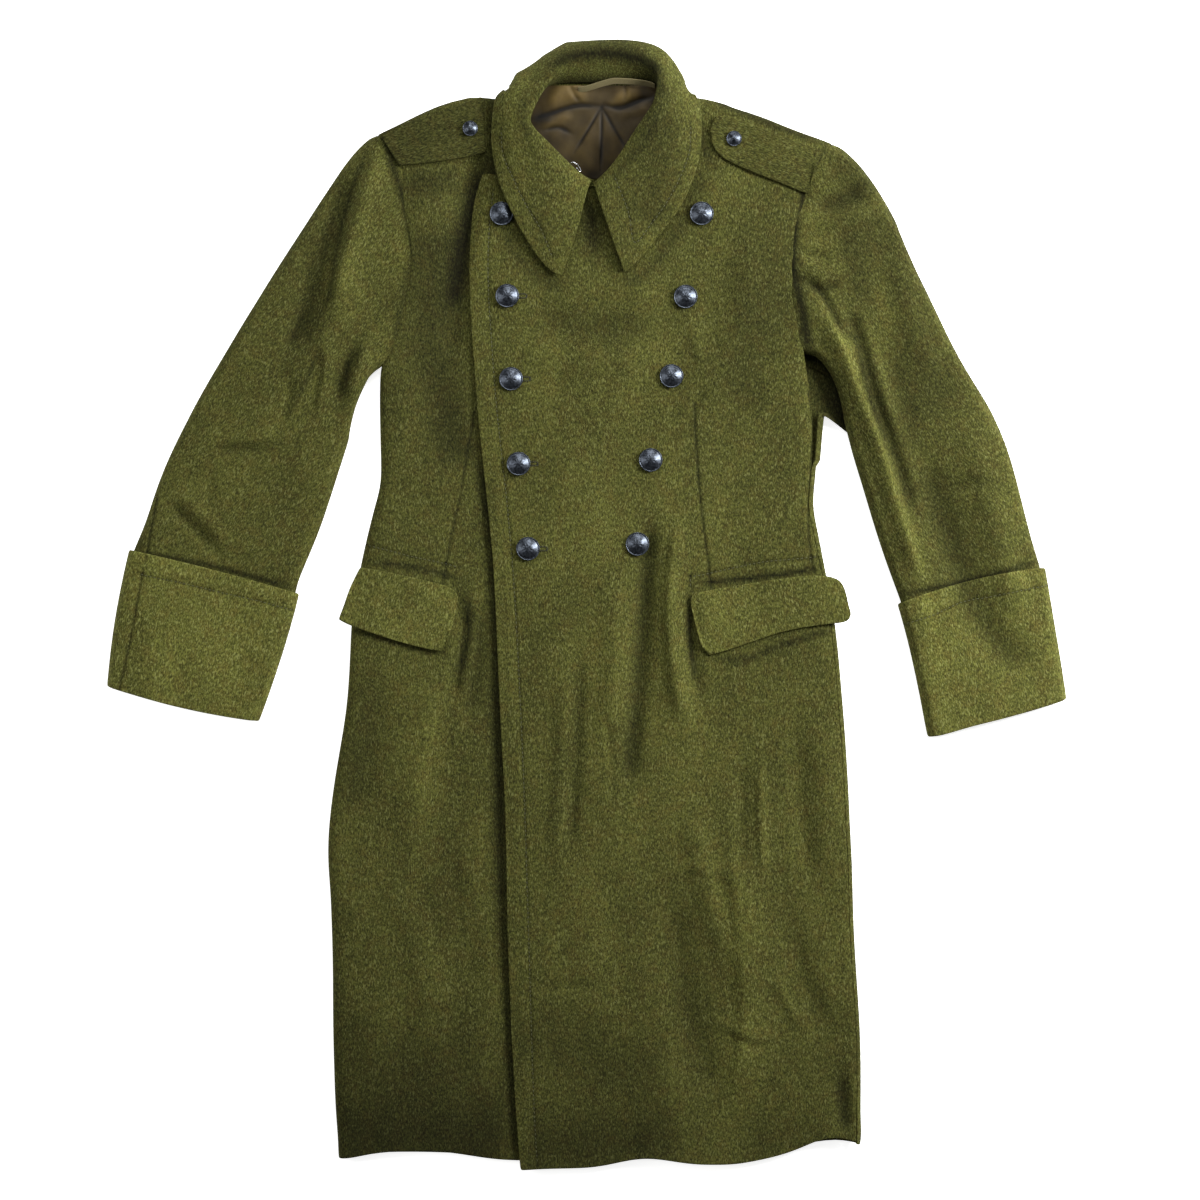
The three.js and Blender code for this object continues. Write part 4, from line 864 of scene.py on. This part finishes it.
def buildCloth(cloth):
    bm = mergedCopy(cloth["node"], clothEdge["sharpAngle"], clothEdge["round"])
    mesh = subdivided(meshFrom(bm, cloth["name"]), clothEdge["levels"])
    if cloth["refine"]:
        refineTop(mesh, seams.get(cloth["name"], []))
    shapeCloth(mesh, cloth)
    mesh.name = cloth["name"]
    piece = link(cloth["name"], mesh, melton("melton_" + cloth["name"], cloth["grain"], cloth["paintedBrightness"]))
    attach(piece, "root")
    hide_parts(cloth["node"])
    triangles = sum(len(p.vertices) - 2 for p in mesh.polygons)
    print(f"cloth: {cloth['name']} {triangles} triangles, area {halfArea(mesh):.3f} m2")
    return piece


clothPieces = {}
for cloth in cloths:
    clothPieces[cloth["name"]] = buildCloth(cloth)


# Sewing: waxed thread in the stitched seams, laid on the finished cloth

def groundAt(tree, x, y):
    hit, normal = tree.ray_cast(Vector((x * mm, y * mm, 0.2)), Vector((0, 0, -1)))[:2]
    return hit, normal


def addStitch(bm, place, normal, along, length, thick):
    # one thread end to end, half sunk in the nap
    along = (along - normal * along.dot(normal)).normalized()
    across = normal.cross(along)
    turn = Matrix((along, across, normal)).transposed().to_4x4()
    shape = Matrix.Diagonal((length * mm / 2, thick * mm / 2, thick * mm / 2, 1))
    matrix = Matrix.Translation(place + normal * thick * mm * 0.15) @ turn @ shape
    bmesh.ops.create_uvsphere(bm, u_segments=6, v_segments=4, radius=1, matrix=matrix)


def sewSeams(cloth):
    rows = [row for row in seams.get(cloth["name"], []) if row["stitched"]]
    if not rows:
        return
    tree = clothTree(clothPieces[cloth["name"]])
    bm = bmesh.new()
    for row in rows:
        line = smoothLine(row["path"], 1.0)
        steps = np.linalg.norm(np.diff(line, axis=0), axis=1)
        run = np.concatenate(([0], np.cumsum(steps)))
        for at in np.arange(stitch["pitch"], run[-1] - stitch["pitch"] / 2, stitch["pitch"]):
            x, y = np.interp(at, run, line[:, 0]), np.interp(at, run, line[:, 1])
            ahead = np.interp(at + 1, run, line[:, 0]) - x, np.interp(at + 1, run, line[:, 1]) - y
            place, normal = groundAt(tree, x, y)
            if place and normal.z > 0.3:
                addStitch(bm, place, normal, Vector((*ahead, 0)), stitch["length"], stitch["thick"])
    name = cloth["name"]
    for kind in ("Panel", "Tube", "Piece"):
        name = name.replace(kind, "")
    name += "Stitches"
    piece = link(name, meshFrom(bm, name), threadOlive)
    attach(piece, "root")
    print(f"sewing: {name} {len(piece.data.polygons)} faces")


threadOlive = sewingThread("olive_thread", "#4a4b26")
for cloth in cloths:
    sewSeams(cloth)


# Buttonholes: a slit beside each button of the lapping edge, whipped all round

buttonhole = {
    "from": 6.0, "to": 19.0,     # mm from the button's middle, towards the wearer's left
    "whipPitch": 1.1, "whipLength": 2.4, "whipThick": 0.6, "slit": 0.9,
}


def buildButtonholes(tree):
    bm = bmesh.new()
    for k in range(1, 6):
        low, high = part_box(f"button_right_{k}")
        middle = (low + high) / 2 / mm
        for at in np.arange(buttonhole["from"], buttonhole["to"], buttonhole["whipPitch"]):
            for side in (-1, 1):
                x, y = middle.x + at, middle.y + side * (buttonhole["slit"] + buttonhole["whipLength"] / 2)
                place, normal = groundAt(tree, x, y)
                if place:
                    addStitch(bm, place, normal, Vector((0, 1, 0)), buttonhole["whipLength"], buttonhole["whipThick"])
        for turn in range(-3, 4):      # the round end
            angle = turn * math.radians(24)
            x = middle.x + buttonhole["to"] + 1.6 * math.cos(angle)
            y = middle.y + 1.9 * math.sin(angle)
            place, normal = groundAt(tree, x, y)
            if place:
                addStitch(bm, place, normal, Vector((math.cos(angle), math.sin(angle), 0)), buttonhole["whipLength"],
                          buttonhole["whipThick"])
    piece = link("buttonholes", meshFrom(bm, "buttonholes"), sewingThread("dark_olive_thread", "#1c1d0f"))
    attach(piece, "root")
    print("sewing: buttonholes")


buildButtonholes(clothTree(clothPieces["leftFrontPanel"]))


# Domed buttons: a pressed shell with a rolled rim, a corded ring and a plain rosette of petals

frontButton = {
    "radius": 12.5, "rim": 0.55, "dome": 4.4, "back": 1.5, "shank": 2.3,     # mm
    "petals": 8, "petalRise": 0.24, "cordRise": 0.2, "cordTurns": 44, "steps": 88,
}
strapButton = {
    "radius": 8.0, "rim": 0.4, "dome": 3.1, "back": 0.9, "shank": 1.6,
    "petals": 6, "petalRise": 0.18, "cordRise": 0.16, "cordTurns": 36, "steps": 64,
}
steel = blackenedSteel("blackened_steel")


def seatOf(node):
    # where a button's foot stands and which way its dome looks, from its solid
    co = np.array([v.co for v in nodes[node].data.vertices], float)
    axis = np.linalg.svd(co - co.mean(0), full_matrices=False)[2][2]
    axis = axis * np.sign(axis[2])
    height = (co - co.mean(0)) @ axis
    middle = co.mean(0) - axis * ((co.mean(0) - co[height.argmin()]) @ axis)
    plan = middle[None, :2] / mm
    middle[2] += lifted(plan, middle[None, 2] / mm)[0] * mm
    middle[:2] = eased(plan)[0] * mm
    return Vector(middle), Vector(axis)


def buildButton(node, name, cfg):
    radius = cfg["radius"]
    edge = cfg["back"] + 2 * cfg["rim"]
    profile = [(0, 0), (cfg["shank"], 0), (cfg["shank"], cfg["back"]), (radius * 0.9, cfg["back"])]
    for k in range(7):               # the rim's round section
        angle = math.radians(-80 + k * 38)
        profile.append((radius - cfg["rim"] * (1 - math.cos(angle)), edge - cfg["rim"] * (1 - math.sin(angle)) + 0.4))
    inner = radius - 2.6 * cfg["rim"]
    for k in range(15):              # the dome
        share = k / 14
        profile.append((inner * (1 - share), edge + (cfg["dome"]) * math.sin(share * math.pi / 2)))
    bm = bmesh.new()
    points = [bm.verts.new((x * mm, 0, z * mm)) for x, z in profile]
    edges = [bm.edges.new(pair) for pair in zip(points, points[1:])]
    bmesh.ops.spin(bm, geom=points + edges, axis=(0, 0, 1), cent=(0, 0, 0), steps=cfg["steps"],
                   angle=2 * math.pi, use_merge=True)
    bmesh.ops.remove_doubles(bm, verts=bm.verts, dist=0.002 * mm)
    bmesh.ops.recalc_face_normals(bm, faces=bm.faces)
    for v in bm.verts:
        r = math.hypot(v.co.x, v.co.y) / mm / radius
        angle = math.atan2(v.co.y, v.co.x)
        if v.co.z / mm > edge - 0.2 and r < 0.9:
            petal = abs(math.cos(angle * cfg["petals"] / 2)) ** 0.8
            window = max(0, 1 - ((r - 0.33) / 0.25) ** 2)
            cord = math.exp(-((r - 0.74) / 0.045) ** 2) * (0.7 + 0.3 * math.cos(angle * cfg["cordTurns"]))
            boss = math.exp(-(r / 0.1) ** 2)
            v.co.z += (cfg["petalRise"] * (petal * window + boss) + cfg["cordRise"] * cord) * mm
    place, axis = seatOf(node)
    turn = Vector((0, 0, 1)).rotation_difference(axis).to_matrix().to_4x4()
    bmesh.ops.transform(bm, verts=bm.verts, matrix=Matrix.Translation(place) @ turn)
    piece = link(name, meshFrom(bm, name), steel)
    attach(piece, "root")
    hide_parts(node)
    return piece


for side in ("right", "left"):
    for k in range(1, 6):
        buildButton(f"button_{side}_{k}", f"frontButton_{side}_{k}", frontButton)
    buildButton(f"strap_button_{side}", f"strapButton_{side}", strapButton)
print("buttons: ten on the fronts, two on the straps")


# Inside the neck: the lining with the creases that fan out from the loop, the loop and the hook

liningCreases = table(("rise", "width", "path"), [
    # pressed creases that meet under the loop
    (-1.5, 1.5, [(16, 527), (2, 503), (-13, 479)]),
    (-1.5, 1.5, [(16, 527), (16, 496), (15, 460)]),
    (-1.5, 1.5, [(16, 527), (30, 503), (44, 480)]),
    (0.7, 6.0, [(22, 510), (27, 490), (31, 468)]),
    (0.7, 6.0, [(9, 510), (2, 490), (-4, 468)]),
    # the cloth drapes over its upper seam in two lobes
    (2.2, 7.0, [(-42, 528), (-22, 540), (4, 541)]),
    (2.2, 6.0, [(28, 532), (46, 540), (64, 544)]),
    (-2.4, 2.6, [(-58, 514), (-38, 520), (-12, 528), (12, 528)]),
    (-2.4, 2.6, [(18, 529), (36, 526), (52, 532), (70, 538)]),
    (1.2, 5.0, [(-50, 508), (-32, 512), (-12, 519)]),
    (1.0, 5.0, [(36, 518), (52, 522), (66, 527)]),
    (-1.4, 2.4, [(-46, 502), (-30, 505), (-16, 499)]),
    (-1.2, 2.2, [(-20, 548), (-12, 538), (-6, 531)]),
    (-1.2, 2.2, [(40, 548), (42, 540), (38, 532)]),
])
# Painted shade in the creases and the dark pockets of the drape, and painted light on its lobes
liningPaintedShades = table(shadeColumns, [
    (-0.6, 1.3, [(16, 527), (2, 503), (-13, 479)]),
    (-0.6, 1.3, [(16, 527), (16, 496), (15, 460)]),
    (-0.6, 1.3, [(16, 527), (30, 503), (44, 480)]),
    (0.6, 8, [(-44, 529), (-22, 541), (4, 543)]),
    (0.6, 7, [(26, 534), (46, 541), (66, 545)]),
    (0.35, 6, [(-50, 507), (-32, 511), (-12, 518)]),
    (-0.75, 6, [(-60, 512), (-46, 514), (-34, 513)]),
    (-0.65, 7, [(52, 541), (64, 538), (78, 530)]),
    (-0.45, 7, [(61, 515), (48, 486), (36, 464)]),
    (-0.5, 5, [(-3, 456), (21, 456)]),
    (-0.35, 6, [(-49, 502), (-32, 481), (-15, 462)]),
])


neckLining = {
    "sharpAngle": 62, "round": 0.35, "levels": 4,     # degrees, mm
    "caughtFrom": 538, "caughtTo": 548, "caught": 4,  # mm, its upper border runs up into the stand
    "flat": (0.16, 0.1), "area": 0.0125,              # m, m2
}


def buildLining():
    bm = mergedCopy("neck_lining", neckLining["sharpAngle"], neckLining["round"])
    mesh = subdivided(meshFrom(bm, "neckLining"), neckLining["levels"])
    co, normal = pointsOf(mesh)
    fold = strokes(co[:, :2] / mm, liningCreases, "rise") + unevenHeight(co[:, :2] / mm, 5, 34, 0.3)
    # painted shade in the pockets and creases, painted light on the lobes and ridges of the drape
    paintedPocketsAndLobes = np.ones(len(co))
    for row in liningPaintedShades:
        paintedPocketsAndLobes *= 1 + strokes(co[:, :2] / mm, [row], "amount")
    setPaintedShade(mesh, np.clip(1 + 0.55 * fold, 0.15, 1.9) * paintedPocketsAndLobes)
    lift = np.maximum(fold, -1.1) * smoothStep(np.abs(normal[:, 2]), 0.2, 0.6)
    co[:, 2] += np.where(normal[:, 2] > 0, lift, np.maximum(lift, 0)) * mm
    co[:, 1] += neckLining["caught"] * mm * smoothStep(co[:, 1] / mm, neckLining["caughtFrom"],
                                                       neckLining["caughtTo"])
    setPoints(mesh, co)
    mesh.name = "neckLining"
    piece = link("neckLining", mesh, liningTwill("brown_lining_twill"))
    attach(piece, "root")
    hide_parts("neck_lining")
    print(f"lining: area {halfArea(mesh):.4f} m2")


# The loop's end on the wearer's right goes down under the lining's drape, mm
loopTape = {"sharpAngle": 62, "round": 0.25, "levels": 3, "sinksFrom": 32, "over": 34, "sink": (-6, -9, -3)}


def buildLoop():
    bm = mergedCopy("hanger_loop", loopTape["sharpAngle"], loopTape["round"])
    mesh = subdivided(meshFrom(bm, "hangerLoop"), loopTape["levels"])
    for v in mesh.vertices:
        sunk = float(smoothStep(np.array(loopTape["sinksFrom"] - v.co.x / mm), 0, loopTape["over"]))
        v.co += Vector(loopTape["sink"]) * sunk * mm
    mesh.name = "hangerLoop"
    piece = link("hangerLoop", mesh, cottonTape("tan_cotton_tape"))
    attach(piece, "root")
    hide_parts("hanger_loop")
    print(f"loop: area {halfArea(mesh):.5f} m2")


# The wire comes out of the seam at foot, mm, and is pushed back under the leaf's edge
collarHook = {"foot": -19.0, "left": 0.72, "levels": 2}


def buildHook():
    bm = bmesh.new()
    bm.from_mesh(nodes["collar_hook"].data)
    bmesh.ops.remove_doubles(bm, verts=bm.verts, dist=0.02 * mm)
    mesh = subdivided(meshFrom(bm, "collarHook"), collarHook["levels"])
    foot = collarHook["foot"] * mm
    for v in mesh.vertices:
        v.co.x = foot + (v.co.x - foot) * collarHook["left"]
    mesh.name = "collarHook"
    piece = link("collarHook", mesh, nickelWire("nickel_wire_drawn"))
    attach(piece, "root")
    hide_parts("collar_hook")


buildLining()
buildLoop()
buildHook()
